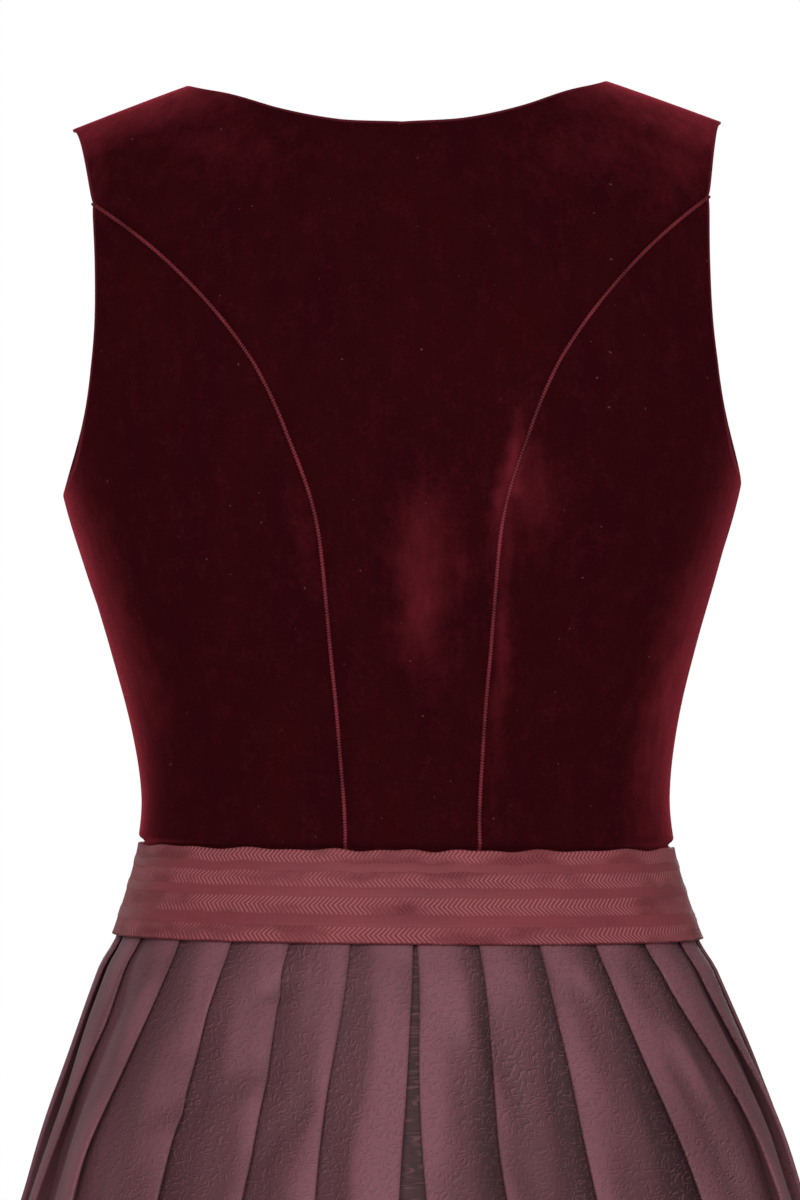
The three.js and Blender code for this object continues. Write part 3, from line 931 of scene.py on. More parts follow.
@dataclass(frozen=True)
class BandWeave:
    """The band's satin ground with its four herringbone rows."""

    # satin_shaded is the satin ground in painted shade, which lies on it in soft patches
    satin: Triple = (0.232, 0.044, 0.054)
    satin_shaded: Triple = (0.135, 0.028, 0.035)
    # stroke_lit and stroke_shaded: the strokes with painted highlight and in painted shade
    stroke_lit: Triple = (0.370, 0.115, 0.125)
    stroke_shaded: Triple = (0.085, 0.016, 0.021)
    # seam_shade is painted shade along the band's lower edge
    seam_shade: Triple = (0.075, 0.006, 0.011)
    sheen: Sheen = Sheen(0.12, 0.4, (0.9, 0.3, 0.34))
    chevron: float = 2.35 * MM
    slant: float = 0.95
    catch: Grain = Grain(30, 3, 0.5, (1, 2.2, 1))
    ribs: Grain = Grain(3400, 1, 0.5, (1, 0.04, 1))
    thread: Grain = Grain(900, 2, 0.6)
    shade_blotch: Grain = Grain(34, 3, 0.6, (0.6, 1.6, 1))
    weave_height: float = 0.5 * MM

    def make(self) -> Finish:
        """Builds the finish; the chart runs round the band and up from its lower edge.

        A stroke is where the fraction of (along + slant |height - row's centre|) / chevron is
        near a half. Slow noise along the band decides whether the strokes catch the light: it
        chooses between strokes with painted highlight and strokes in painted shade.

        Returns:
            The finish.
        """
        finish = Finish("band_weave")
        chart = finish.chart_place()
        along, height, _ = finish.parts(finish.wander(chart, 130, 0.0009))
        row_mask = None
        bend = None
        for row in HERRINGBONE_ROWS:
            away = height - row.centre * MM
            mask = 1 - abs(away).step((row.half - 0.5) * MM, (row.half + 0.3) * MM)
            part = abs(away) * mask
            row_mask = mask if row_mask is None else row_mask + mask
            bend = part if bend is None else bend + part
        stroke = ((along + bend * self.slant) * (1 / self.chevron)).fraction()
        raised = 1 - (abs(stroke - 0.5) * 2).step(0.16, 0.56)
        catch = finish.noise(chart, self.catch).step(0.32, 0.56)
        ribs = finish.noise(chart, self.ribs)
        shade_blotch = finish.noise(chart, self.shade_blotch)
        # painted shade in soft patches over the satin ground
        ground = finish.blend((shade_blotch - 0.5) * 1.1 + 0.56 + (ribs - 0.5) * 0.6, self.satin_shaded, self.satin)
        # the strokes with painted highlight, then in painted shade
        lit = finish.blend(raised * 0.95, ground, self.stroke_lit)
        sunk = finish.blend(raised * 0.65, ground, self.stroke_shaded)
        woven = finish.blend(catch, sunk, lit)
        colour = finish.blend(row_mask, ground, woven)
        # painted shade along the lower edge
        seam = 1 - height.step(0.6 * MM, 1.3 * MM)
        colour = finish.blend(seam * 0.85, colour, self.seam_shade)
        relief = raised * row_mask * 0.7 + ribs * 0.2 + finish.noise(chart, self.thread) * 0.25
        normal = finish.bump(relief, self.weave_height, 0.8)
        return finish.surface(colour, 0.52 + row_mask * 0.12, 0.14, normal, self.sheen)


@dataclass(frozen=True)
class Jacquard:
    """The skirt's shot cloth, pink with painted highlight on the folds and grey wine with painted shade
    in the hollows, with small woven scrolls.
    """

    # crest is painted highlight on the folds, hollow painted shade that also darkens the threads, outer a
    # painted lighter tone, figure_lit painted highlight beside the strokes
    crest: Triple = (0.205, 0.077, 0.097)
    panel: Triple = (0.114, 0.044, 0.054)
    hollow: Triple = (0.062, 0.029, 0.034)
    outer: Triple = (0.190, 0.076, 0.093)
    figure_lit: Triple = (0.340, 0.140, 0.165)
    figure_deep: Triple = (0.036, 0.016, 0.019)
    sheen: Sheen = Sheen(0.04, 0.4, (0.8, 0.42, 0.48))
    scroll: float = 5.2 * MM
    scroll_bands: float = 7.0  # strokes from the lowest to the highest value of their noise
    echo_way: Triple = (0.7 * MM, 0.5 * MM, 0)
    threads: Grain = Grain(3600, 1, 0.5, (1, 0.06, 1))
    weft: Grain = Grain(2600, 1, 0.5, (0.08, 1, 1))
    shade_blotch: Grain = Grain(16, 3, 0.6)
    lustre: Grain = Grain(9)
    weave_height: float = 0.25 * MM

    def make(self) -> Finish:
        """Builds the finish; the chart runs along the cloth and up from the hem.

        The ground is painted light and shade: it goes from the crest's painted highlight to panel
        to the hollow's painted shade as the fold sinks, with less of that shade on the wearer's left,
        and to outer, a painted lighter tone, where the cloth turns away at the sides. A light echo,
        a painted highlight, lies beside each stroke, as if it were raised; the strokes and their
        echoes show more on the slopes down into the painted shade, and on the wearer's right.

        Returns:
            The finish.
        """
        finish = Finish("jacquard")
        chart = finish.chart_place()
        place = finish.object_place()
        sunk = finish.attribute("sunk")
        scrolls = self.scrolls(finish, chart)
        # echo: a painted highlight beside each stroke, as if it were raised
        echo = self.scrolls(finish, finish.shifted(chart, self.echo_way))
        threads = finish.noise(chart, self.threads)
        weft = finish.noise(chart, self.weft)
        # painted shade that follows how far the fold sinks, varied by soft blotches
        slope = (sunk + (finish.noise(place, self.shade_blotch) - 0.5) * 0.30).greater(0.0)
        x, y, _ = finish.parts(place)
        # from the crest's painted highlight to the hollow's painted shade, with less shade on the
        # wearer's left
        hollow_shade = slope.step(0.30, 0.90)
        ground = finish.blend(slope.step(-0.04, 0.34), self.crest, self.panel)
        ground = finish.blend(hollow_shade * (1 - x.step(-0.010, 0.030) * 0.75), ground, self.hollow)
        # a painted lighter tone where the cloth turns away at the sides
        turned = (abs(x) - y * 0.3).step(0.105, 0.150) * slope.step(0.10, 0.45)
        ground = finish.blend(turned * 0.85, ground, self.outer)
        seen = finish.noise(place, self.lustre).step(0.36, 0.62) * 0.5 + 0.5
        # the strokes and their echoes show more on the slopes into painted shade, and on the wearer's
        # right
        steep = slope.step(0.04, 0.36) * 0.30 + 0.24 - x * 0.5
        colour = finish.blend(echo * seen * (steep * 0.55), ground, self.figure_lit)
        colour = finish.blend(scrolls * seen * steep, colour, self.figure_deep)
        colour = finish.blend((threads + weft - 0.85) * 0.45, colour, self.hollow)
        normal = finish.bump(scrolls * 0.5 + threads * 0.3 + weft * 0.2, self.weave_height, 0.7)
        return finish.surface(colour, 0.62 - scrolls * 0.08, 0.16, normal, self.sheen)

    def scrolls(self, finish: Finish, chart: Socket) -> Value:
        """Small curled strokes: where the sine of a steep noise is high, broken up by a second one.

        Args:
            finish: The network.
            chart: The place on the flat cloth.

        Returns:
            1 on a stroke and 0 beside it.
        """
        bent = finish.wander(chart, 170, 0.006)
        hills = finish.noise(bent, Grain(0.8 / self.scroll, 1))
        line = (hills * (2 * math.pi * self.scroll_bands)).sine().step(0.25, 0.85)
        elsewhere = finish.shifted(bent, (3.1, 1.7, 0))
        broken = finish.noise(elsewhere, Grain(1.8 / self.scroll, 1)).step(0.40, 0.52)
        return line * broken


class HerringboneRow(NamedTuple):
    """A row of the band's herringbone, counted up from the band's lower edge in millimetres."""

    centre: float
    half: float


HERRINGBONE_ROWS = (
    HerringboneRow(4.6, 4.1),
    HerringboneRow(18.6, 4.4),
    HerringboneRow(31.3, 3.8),
    HerringboneRow(42.4, 3.1),
)


@dataclass
class Bodice:
    """The sleeveless bodice in seven velvet panels, joined along corded seams."""

    figure: Figure
    wall: float = 1.8
    seam_gap: float = -0.1  # the panels' rounded ends press into one another
    edge_round: float = 0.6
    band_wall: float = 1.8
    under_band: float = 1.8
    drawn_in: float = -379.1
    clear: float = -375.6
    neck_point: float = 106.5
    ridge_top: float = 2
    ridge_fall: float = 0.405
    ridge_round: float = 60
    back_cap: float = 150
    front_cap: float = 170
    level: float = 1.7
    seam_steps: int = 112
    armhole_above_steps: int = 26
    armhole_below_steps: int = 48
    shoulder_steps: int = 20
    back_neck_steps: int = 44
    strap_steps: int = 40
    front_neck_steps: int = 74
    relax_rounds: int = 240
    halvings: int = 40
    under_band_heights: tuple[float, ...] = (-391, -380, -379, -378, -377, -376, -374.6)
    seam_dip: float = 0.55
    seam_dip_width: float = 3.2
    crease_bottom: float = -374.6
    crease_full: float = -349.6

    back_princess: tuple[Place, ...] = (
        Place(33, -373),
        Place(34.5, -340),
        Place(38.5, -290),
        Place(45, -221),
        Place(60, -173),
        Place(80, -132),
        Place(115, -90),
        Place(153.5, -58),
    )
    back_armhole_above: tuple[Place, ...] = (Place(153.5, -58), Place(156, -42), Place(163, 2))
    back_armhole_below: tuple[Place, ...] = (
        Place(153.5, -58),
        Place(152.5, -90),
        Place(153.5, -125),
        Place(157.5, -158),
        Place(163, -186),
        Place(168.8, -198.5),
        Place(171, -202),
    )
    back_neckline: tuple[Place, ...] = (
        Place(106.5, 2),
        Place(101, 0.5),
        Place(88, -3),
        Place(62, -12),
        Place(32, -19),
        Place(0, -21),
    )
    front_princess: tuple[Place, ...] = (
        Place(56, -373),
        Place(59, -340),
        Place(68, -290),
        Place(80, -240),
        Place(92, -200),
        Place(112, -155),
        Place(137, -118),
    )
    front_armhole_above: tuple[Place, ...] = (
        Place(137, -118),
        Place(141, -80),
        Place(150, -45),
        Place(163, 2),
    )
    front_armhole_below: tuple[Place, ...] = (
        Place(137, -118),
        Place(140, -150),
        Place(151, -182),
        Place(163, -193),
        Place(168.8, -199.5),
        Place(171, -202),
    )
    front_neckline: tuple[Place, ...] = (
        Place(106.5, 2),
        Place(102, -40),
        Place(96, -84),
        Place(84, -120),
        Place(56, -142),
        Place(0, -150),
    )
    ridge: tuple[Place, ...] = (Place(163, 2), Place(145, 2), Place(126, 2), Place(106.5, 2))
    creases: tuple[Crease, ...] = (
        Crease(-3, -225, -2, -330, 17, -1.6),
        Crease(14, -250, 16, -350, 9, 0.7),
        Crease(-16, -245, -18, -345, 10, 0.8),
        Crease(-30, -300, -58, -338, 8, -0.9),
        Crease(-34, -322, -66, -356, 7, -0.8),
        Crease(32, -306, 60, -344, 8, -0.9),
        Crease(38, -330, 70, -360, 7, -0.7),
        Crease(-52, -190, -40, -250, 13, -0.9),
        Crease(54, -180, 42, -244, 12, -0.8),
        Crease(-20, -95, 12, -104, 14, -0.6),
        Crease(86, -230, 98, -300, 10, -1.0),
        Crease(-88, -236, -100, -296, 10, -0.9),
        Crease(104, -320, 128, -352, 8, -0.8),
        Crease(-106, -316, -126, -350, 8, -0.8),
        Crease(150, -330, 172, -352, 8, -0.6),
        Crease(-148, -326, -170, -350, 8, -0.6),
    )

    def ridge_height(self, x: np.ndarray) -> np.ndarray:
        """The shoulder ridge's height, which falls outwards like a hyperbola's two arms."""
        rounded = np.hypot(x, self.ridge_round) - math.hypot(self.neck_point, self.ridge_round)
        return self.ridge_top - self.ridge_fall * rounded

    def foot(self, turn: np.ndarray) -> tuple[np.ndarray, np.ndarray]:
        """Where the face starts to lean over to the shoulder ridge, and how far below it.

        Args:
            turn: Radians from the centre back.

        Returns:
            The height of the foot, and its distance to the ridge.
        """
        cap = np.where(np.cos(turn) >= 0, self.back_cap, self.front_cap)
        x, _, _ = self.figure.outline(np.zeros_like(turn), turn)
        return self.ridge_height(x) - cap, cap

    def face(self, turn: np.ndarray, climb: np.ndarray) -> np.ndarray:
        """The bodice's outer face as a function of turn and climb.

        climb is the height, and goes on past the cap's foot as the length of a quarter ellipse
        that leads over to the shoulder ridge: z = foot + cap sin(rise), y = middle + y cos(rise).

        Args:
            turn: Radians from the centre back.
            climb: The climb.

        Returns:
            Points, with one more axis than the arguments.
        """
        foot, cap = self.foot(turn)
        rise = np.maximum(0, (climb - foot) / cap)
        z = np.where(rise > 0, foot + cap * np.sin(rise), climb)
        x, y, middle = self.figure.outline(z, turn)
        return np.stack([x, middle + y * np.cos(rise), z], -1)

    def normal(self, turn: np.ndarray, climb: np.ndarray) -> np.ndarray:
        """The way out of the face, crossed from its two slopes and level under the band.

        Args:
            turn: Radians from the centre back.
            climb: The climb.

        Returns:
            A way of length 1 for each place.
        """
        step = 1e-3
        foot, cap = self.foot(turn)
        top = foot + cap * math.pi / 2
        upper = np.minimum(climb + step, top)
        across = self.face(turn + step, climb) - self.face(turn - step, climb)
        up = self.face(turn, upper) - self.face(turn, upper - 2 * step)
        out = np.cross(up, across)
        out[..., 2] = np.where(climb < self.clear, 0, out[..., 2])
        return unit(out)

    def locate(self, places: Sequence[Place], on_back: bool) -> np.ndarray:
        """Finds the turn and climb of places on the back or front by halving the turn's range.

        Args:
            places: The places.
            on_back: Whether they are on the back.

        Returns:
            Turn and climb, a row for each place.
        """
        x = np.array([place.x for place in places])
        z = np.array([place.z for place in places])
        low = np.full(len(x), 0.0 if on_back else math.pi / 2)
        high = np.full(len(x), math.pi / 2 if on_back else math.pi)
        for _ in range(self.halvings):
            turn = (low + high) / 2
            too_wide = self.figure.outline(z, turn)[0] > x
            lower_half = too_wide == on_back
            high = np.where(lower_half, turn, high)
            low = np.where(lower_half, low, turn)
        turn = (low + high) / 2
        foot, cap = self.foot(turn)
        rise = (z - foot) / cap
        climb = np.where(rise > 0, foot + cap * np.arcsin(np.clip(rise, 0, 1)), z)
        return np.stack([turn, climb], 1)

    def edge(self, places: Sequence[Place], on_back: bool, steps: int) -> np.ndarray:
        """A seam or edge as a smooth curve in turn and climb, cut into equal steps.

        Between two points it is the cubic whose slope at each is half the way between its
        neighbours.

        Args:
            places: The points it runs through.
            on_back: Whether it is on the back.
            steps: How many steps it is cut into.

        Returns:
            Turn and climb, a row for each cut.
        """
        weights = np.array([100.0, 1.0])  # make a turn weigh about as much as its millimetres
        points = self.locate(places, on_back) * weights
        padded = np.concatenate([points[:1], points, points[-1:]])
        t = np.linspace(0, 1, 40, endpoint=False)[None, :, None]
        count = len(points) - 1
        before, start, end = (padded[k : k + count, None] for k in range(3))
        after = np.concatenate([padded[3:], points[-1:]])[:count, None]
        leave = (end - before) / 2
        arrive = (after - start) / 2
        curve = (
            (2 * start - 2 * end + leave + arrive) * t**3
            + (3 * end - 3 * start - 2 * leave - arrive) * t**2
            + leave * t
            + start
        ).reshape(-1, 2)
        curve = np.concatenate([curve, points[-1:]])
        length = line_lengths(curve)
        wanted = np.linspace(0, length[-1], steps + 1)
        return np.stack([np.interp(wanted, length, curve[:, k]) for k in range(2)], 1) / weights

    @staticmethod
    def straight(start: np.ndarray, end: np.ndarray, steps: int) -> np.ndarray:
        """A straight edge in turn and climb, cut into equal steps."""
        t = np.linspace(0, 1, steps + 1)[:, None]
        return start * (1 - t) + end * t

    @staticmethod
    def join(*edges: np.ndarray) -> np.ndarray:
        """Edges end to end, with each shared point kept once."""
        return np.concatenate([edges[0], *[edge[1:] for edge in edges[1:]]])

    @staticmethod
    def mirror(edge: np.ndarray) -> np.ndarray:
        """The same edge on the wearer's other side."""
        return edge * np.array([-1.0, 1.0])

    def fill(
        self, left: np.ndarray, right: np.ndarray, bottom: np.ndarray, top: np.ndarray
    ) -> np.ndarray:
        """Fills four edges with a Coons grid.

        A point is the blend of the bottom and top edges, freed of their own corners, plus the
        blend of the left and right edges. v is a power of the row's share, which keeps the lower
        rows level.

        Args:
            left: The left edge, upwards, seen from inside the cloth.
            right: The right edge, upwards.
            bottom: The bottom edge, from left to right.
            top: The top edge, from left to right.

        Returns:
            The grid of turn and climb, rows upwards.
        """
        u = np.linspace(0, 1, len(bottom))[None, :, None]
        v = (np.linspace(0, 1, len(left)) ** self.level)[:, None, None]
        low = bottom[None] - (1 - u) * bottom[0] - u * bottom[-1]
        high = top[None] - (1 - u) * top[0] - u * top[-1]
        grid = (1 - v) * low + v * high + (1 - u) * left[:, None] + u * right[:, None]
        return relaxed(grid, self.relax_rounds)

    def seam(self, on_back: bool) -> np.ndarray:
        """The curved seam from the waist to the armhole, on the wearer's left."""
        places = self.back_princess if on_back else self.front_princess
        return self.edge(places, on_back, self.seam_steps)

    def back_centre_grid(self) -> tuple[np.ndarray, list[np.ndarray]]:
        """The centre back, from seam to seam and up to both shoulders, and its open edges.

        Returns:
            The grid of turn and climb, and the open edges.
        """
        armhole = self.edge(self.back_armhole_above, True, self.armhole_above_steps)
        left = self.join(self.seam(True), armhole)
        shoulder = self.edge(self.ridge, True, self.shoulder_steps)
        neckline = self.edge(self.back_neckline, True, self.back_neck_steps)
        half_top = self.join(shoulder, neckline)
        top = self.join(self.mirror(half_top), half_top[::-1])
        bottom = self.straight(self.mirror(left)[0], left[0], len(top) - 1)
        edges = [armhole, self.mirror(armhole), neckline, self.mirror(neckline)]
        return self.fill(self.mirror(left), left, bottom, top), edges

    def side_grid(self, on_back: bool) -> tuple[np.ndarray, list[np.ndarray]]:
        """The side back or side front on the wearer's left, and its open edge.

        Args:
            on_back: Whether it is the side back.

        Returns:
            The grid of turn and climb, and a list with the edge.
        """
        seam = self.seam(on_back)
        places = self.back_armhole_below if on_back else self.front_armhole_below
        armhole = self.edge(places, on_back, self.armhole_below_steps)
        corner = np.array([math.pi / 2, seam[0, 1]])
        side = self.straight(corner, armhole[-1], self.seam_steps)
        bottom = self.straight(seam[0], corner, self.armhole_below_steps)
        if on_back:
            return self.fill(seam, side, bottom, armhole), [armhole]
        return self.fill(side, seam, bottom[::-1], armhole[::-1]), [armhole]

    def front_centre_grid(self) -> tuple[np.ndarray, list[np.ndarray]]:
        """The wearer's left front, from its seam to the centre front, and its open edges.

        Returns:
            The grid of turn and climb, and the open edges.
        """
        seam = self.seam(False)
        armhole = self.edge(self.front_armhole_above, False, self.armhole_above_steps)
        neckline = self.edge(self.front_neckline, False, self.front_neck_steps)[::-1]
        corner = np.array([math.pi, seam[0, 1]])
        centre_steps = self.seam_steps + self.armhole_above_steps - self.front_neck_steps
        centre = self.straight(corner, neckline[0], centre_steps)
        bottom = self.straight(seam[0], corner, self.strap_steps)
        shoulder = self.edge(self.ridge, False, self.strap_steps)
        grid = self.fill(self.join(seam, armhole), self.join(centre, neckline), bottom, shoulder)
        return grid, [armhole, neckline]

    def tuck(self, z: np.ndarray) -> np.ndarray:
        """How far the bodice is drawn in to pass under the band."""
        return (self.band_wall + self.under_band) * smooth_step(self.clear, self.drawn_in, z)

    def with_under_band(self, grid: np.ndarray) -> np.ndarray:
        """Continues a grid straight down behind the band to the waist seam.

        Args:
            grid: A grid of turn and climb, rows upwards.

        Returns:
            The grid with its new rows first.
        """
        heights = [self.figure.waist_seam + self.seam_gap / 2, *self.under_band_heights]
        rows = [np.stack([grid[0, :, 0], np.full(grid.shape[1], height)], 1) for height in heights]
        return np.concatenate([np.array(rows), grid])

    def relief(self, grid: np.ndarray, place: np.ndarray, seams: Sequence[np.ndarray]) -> np.ndarray:
        """The soft unevenness of the worn velvet, in millimetres outwards.

        It adds the creases to a dip along each corded seam, which is the seam's depth times
        exp(-(distance / width)^2).

        Args:
            grid: Turn and climb.
            place: The same places as points.
            seams: The corded seams of the panel, in turn and climb.

        Returns:
            How far each place moves.
        """
        reach = np.hypot(place[..., 0], place[..., 1])
        moved = crease_relief(self.creases, grid[..., 0], place[..., 2], reach)
        moved *= smooth_step(self.crease_bottom, self.crease_full, place[..., 2])
        for seam in seams:
            line = self.face(seam[:, 0], seam[:, 1])
            moved -= self.seam_dip * np.exp(-((distance_to(place, line) / self.seam_dip_width) ** 2))
        return moved

    def panel(
        self, grid: np.ndarray, open_edges: list[np.ndarray], seams: Sequence[np.ndarray]
    ) -> Cloth:
        """Turns a grid of turn and climb into a panel's cloth.

        Args:
            grid: The grid.
            open_edges: The edges that no other panel joins, in turn and climb.
            seams: Its corded seams.

        Returns:
            The cloth.
        """
        whole = self.with_under_band(grid)
        turn, climb = whole[..., 0], whole[..., 1]
        face = self.face(turn, climb)
        out = self.normal(turn, climb)
        moved = self.relief(whole, face, seams) - self.tuck(face[..., 2])
        edge = np.min([distance_to(face, self.face(e[:, 0], e[:, 1])) for e in open_edges], axis=0)
        chart = np.stack([row_lengths(face), face[..., 2]], -1)
        skins = []
        for inwards in (0.0, self.wall):
            skin = face + out * (moved - inwards)[..., None]
            skins.append(self.figure.settle(drawn_in(skin, self.seam_gap / 2 + self.edge_round)))
        return Cloth(skins[0], skins[1], chart, edge, np.zeros_like(edge), roundness=self.edge_round)

    def panels(self) -> dict[str, tuple[Cloth, np.ndarray]]:
        """All seven panels by node name, each with its grid of turn and climb.

        Returns:
            The cloth and grid of each panel.
        """
        back, front = self.seam(True), self.seam(False)
        made: dict[str, tuple[Cloth, np.ndarray]] = {}
        grid, edges = self.back_centre_grid()
        made["bodice_back_centre"] = (self.panel(grid, edges, [back, self.mirror(back)]), grid)
        for name, (grid, edges), seam in (
            ("back_side", self.side_grid(True), back),
            ("front_side", self.side_grid(False), front),
            ("front_centre", self.front_centre_grid(), front),
        ):
            for side in Side:
                own_grid, own_edges, own_seam = grid, edges, seam
                if side is Side.RIGHT:
                    own_grid = self.mirror(grid)[:, ::-1]
                    own_edges = [self.mirror(edge) for edge in edges]
                    own_seam = self.mirror(seam)
                cloth = self.panel(own_grid, own_edges, [own_seam])
                made[f"bodice_{name}_{side.name.lower()}"] = (cloth, own_grid)
        return made

    def build(self, velvet: Finish) -> list[bpy.types.Object]:
        """Makes and dresses the panels, each in place of its node.

        Args:
            velvet: The panels' finish.

        Returns:
            The panels.
        """
        pieces = []
        for node, (cloth, grid) in self.panels().items():
            piece = cloth.mesh(f"{node}_velvet")
            stand_for(piece, node, velvet)
            face = self.face(grid[..., 0], grid[..., 1])
            pieces.append(piece)
        return pieces


def distance_to(places: np.ndarray, line: np.ndarray) -> np.ndarray:
    """The distance from each place of a grid to the nearest stretch of a line of points.

    Args:
        places: Rows and columns of points.
        line: The line's points.

    Returns:
        The distance of each place.
    """
    flat = places.reshape(-1, 3)
    best = np.full(len(flat), np.inf)
    for start, end in zip(line[:-1], line[1:]):
        way = end - start
        t = np.clip((flat - start) @ way / max(way @ way, 1e-9), 0, 1)
        best = np.minimum(best, np.linalg.norm(flat - start - t[:, None] * way, axis=1))
    return best.reshape(places.shape[:-1])


def stand_for(piece: bpy.types.Object, node: str, finish: Finish) -> None:
    """Dresses a piece and lets it stand for a node, on the one body and in its material slot.

    Args:
        piece: The piece.
        node: The node that it replaces.
        finish: Its finish.
    """
    finish.dress(piece)
    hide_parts(node)
    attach(piece, BODY)


@dataclass
class SeamCord:
    """A twisted satin cord laid along a bodice seam."""

    bodice: Bodice
    radius: float = 0.95
    lobe: float = 0.16
    strands: int = 2
    twist: float = 4.2  # the length in which a strand goes once round
    lift: float = 0.55  # from the velvet's face to the cord's middle
    step: float = 0.42
    around: int = 14
    girth: float = 6
    bedded: float = 0.6  # how far the cord sinks into its seam's dip, as a share of the dip
    end_gap: float = 0.4
    end_share: float = 0.35  # the radius at the very ends, as a share of the usual
    end_length: float = 1.5  # over this length the share grows by 1

    def route(self, on_back: bool) -> tuple[np.ndarray, np.ndarray]:
        """The cord's middle line and the ways out of the cloth along it.

        Args:
            on_back: Whether it is a back seam.

        Returns:
            The line's points and a way out for each.
        """
        bodice = self.bodice
        seam = bodice.seam(on_back)
        below = bodice.with_under_band(seam[None, :1])[:-1, 0]
        line = np.concatenate([below, seam])
        face = bodice.face(line[:, 0], line[:, 1])
        out = bodice.normal(line[:, 0], line[:, 1])
        height = self.lift - bodice.tuck(face[:, 2]) - bodice.seam_dip * self.bedded
        middle = face + out * height[:, None]
        length = line_lengths(middle)
        wanted = np.arange(self.end_gap, length[-1] - self.end_gap, self.step)
        line, ways = (
            np.stack([np.interp(wanted, length, row[:, k]) for k in range(3)], 1) for row in (middle, out)
        )
        return line, ways

    def build(self, on_back: bool, side: Side, satin: Finish) -> bpy.types.Object:
        """Sweeps a lobed circle that turns along the route.

        The radius at angle a and length s is radius (1 + lobe cos(strands (a - 2 pi s / twist))).

        Args:
            on_back: Whether it is a back seam.
            side: The wearer's side.
            satin: The cord's finish.

        Returns:
            The cord, in place of its node.
        """
        middle, out = self.route(on_back)
        along = unit(np.gradient(middle, axis=0))
        across = unit(np.cross(along, out))
        upright = np.cross(across, along)
        length = np.arange(len(middle))[:, None] * self.step
        angle = np.linspace(0, 2 * np.pi, self.around, endpoint=False)[None]
        spun = angle - 2 * np.pi * length / self.twist
        from_end = np.minimum(length, length[-1] - length)
        taper = np.minimum(1, self.end_share + from_end / self.end_length)
        radius = self.radius * taper * (1 + self.lobe * np.cos(self.strands * spun))
        ring = (
            middle[:, None]
            + (radius * np.cos(angle))[..., None] * across[:, None]
            + (radius * np.sin(angle))[..., None] * upright[:, None]
        )
        ring[..., 0] *= side.value
        points = self.bodice.figure.settle(ring)
        k = np.arange(self.around // 2 - 1)
        cap = np.stack([k, k + 1, self.around - 2 - k, self.around - 1 - k], 1)
        last_ring = (len(middle) - 1) * self.around
        faces = np.concatenate([ring_faces(len(middle), self.around), cap[:, ::-1], cap + last_ring])
        chart = np.stack(np.broadcast_arrays(length, angle / (2 * np.pi) * self.girth), -1).reshape(-1, 2)
        if side is Side.RIGHT:
            faces = faces[:, ::-1]
        where = "back" if on_back else "front"
        node = f"seam_cord_{where}_{side.name.lower()}"
        piece = make_object(f"{node}_twist", points.reshape(-1, 3), faces, chart, {})
        stand_for(piece, node, satin)
        return piece


@dataclass
class WaistBand:
    """The woven band, one strip round the waist whose end laps over its start at the front."""

    figure: Figure
    wall: float = 1.8
    bottom: float = -425.4
    top: float = -379.6
    lap: float = 0.16
    lap_gap: float = 0.3
    steps: int = 620
    rows: int = 46
    stripe_swell: float = 0.35
    stripe_edge: float = 0.8
    inner_share: float = 0.6  # how much of the outer skin's unevenness the inner skin has
    edge_round: float = 0.7
    slack: float = 1.04  # the flat strip's width for each millimetre of the worn band's height
    lap_ease: float = 0.3  # the turn, in radians, over which the end lifts off the start
    creases: tuple[Crease, ...] = (
        Crease(56, -384, 50, -422, 7, -0.5),
        Crease(44, -383, 40, -420, 6, 0.45),
        Crease(-49, -384, -56, -421, 8, -0.45),
        Crease(-64, -384, -60, -420, 7, 0.4),
        Crease(4, -380, -6, -384, 7, -0.5),
        Crease(24, -382, 20, -424, 12, 0.3),
        Crease(-22, -382, -26, -424, 13, -0.3),
        Crease(100, -384, 108, -420, 8, 0.45),
        Crease(-96, -384, -104, -421, 8, -0.45),
        Crease(126, -384, 122, -421, 8, -0.4),
        Crease(-132, -384, -126, -421, 9, 0.4),
    )

    @staticmethod
    def unevenness(angle: np.ndarray) -> np.ndarray:
        """How far the worn upper edge wanders up and down: two sines that never meet in step."""
        return 0.45 * np.sin(17 * angle + 0.4) + 0.35 * np.sin(29.3 * angle + 2.0)

    def build(self, weave: Finish) -> bpy.types.Object:
        """Makes the band: the figure's outline moved in by the wall, and out again where it laps.

        The satin stripes between the herringbone rows stand a little proud of them.

        Args:
            weave: The band's finish.

        Returns:
            The band, in place of its node.
        """
        share = np.linspace(0, 1, self.steps + 1)
        turn = (share * (2 * np.pi + self.lap))[None]
        lap_lift = self.wall + self.lap_gap * 2
        lift = lap_lift * smooth_step(2 * np.pi - self.lap_ease, 2 * np.pi, turn)
        tall = self.top - self.bottom
        height = np.linspace(self.edge_round, tall - self.edge_round, self.rows + 1)[:, None]
        angle = turn - np.pi
        z = self.bottom + height + self.unevenness(angle) * (height / height[-1]) ** 2
        x, y, middle = self.figure.outline(z, angle)
        way = unit(np.stack([x, y], -1))
        reach = np.hypot(x, y)
        moved = crease_relief(self.creases, angle, z, reach)
        for row in HERRINGBONE_ROWS:
            away = np.abs(height - row.centre)
            in_row = smooth_step(row.half + self.stripe_edge, row.half - self.stripe_edge, away)
            moved = moved - self.stripe_swell * in_row
        skins = []
        for inwards in (0.0, self.wall):
            shift = lift - inwards + (moved if inwards == 0 else moved * self.inner_share)
            points = [x + way[..., 0] * shift, middle + y + way[..., 1] * shift, z]
            skins.append(self.figure.settle(np.stack(np.broadcast_arrays(*points), -1)))
        outer, inner = skins
        around = row_lengths(outer).mean(axis=0)
        chart = np.stack(np.broadcast_arrays(around, height), -1)
        edge = np.broadcast_to(np.minimum(height, height[-1] - height), chart.shape[:2])
        cloth = Cloth(outer, inner, chart, edge, np.zeros_like(edge), roundness=self.edge_round)
        band = cloth.mesh("waist_band_weave")
        stand_for(band, "waist_band", weave)
        return band


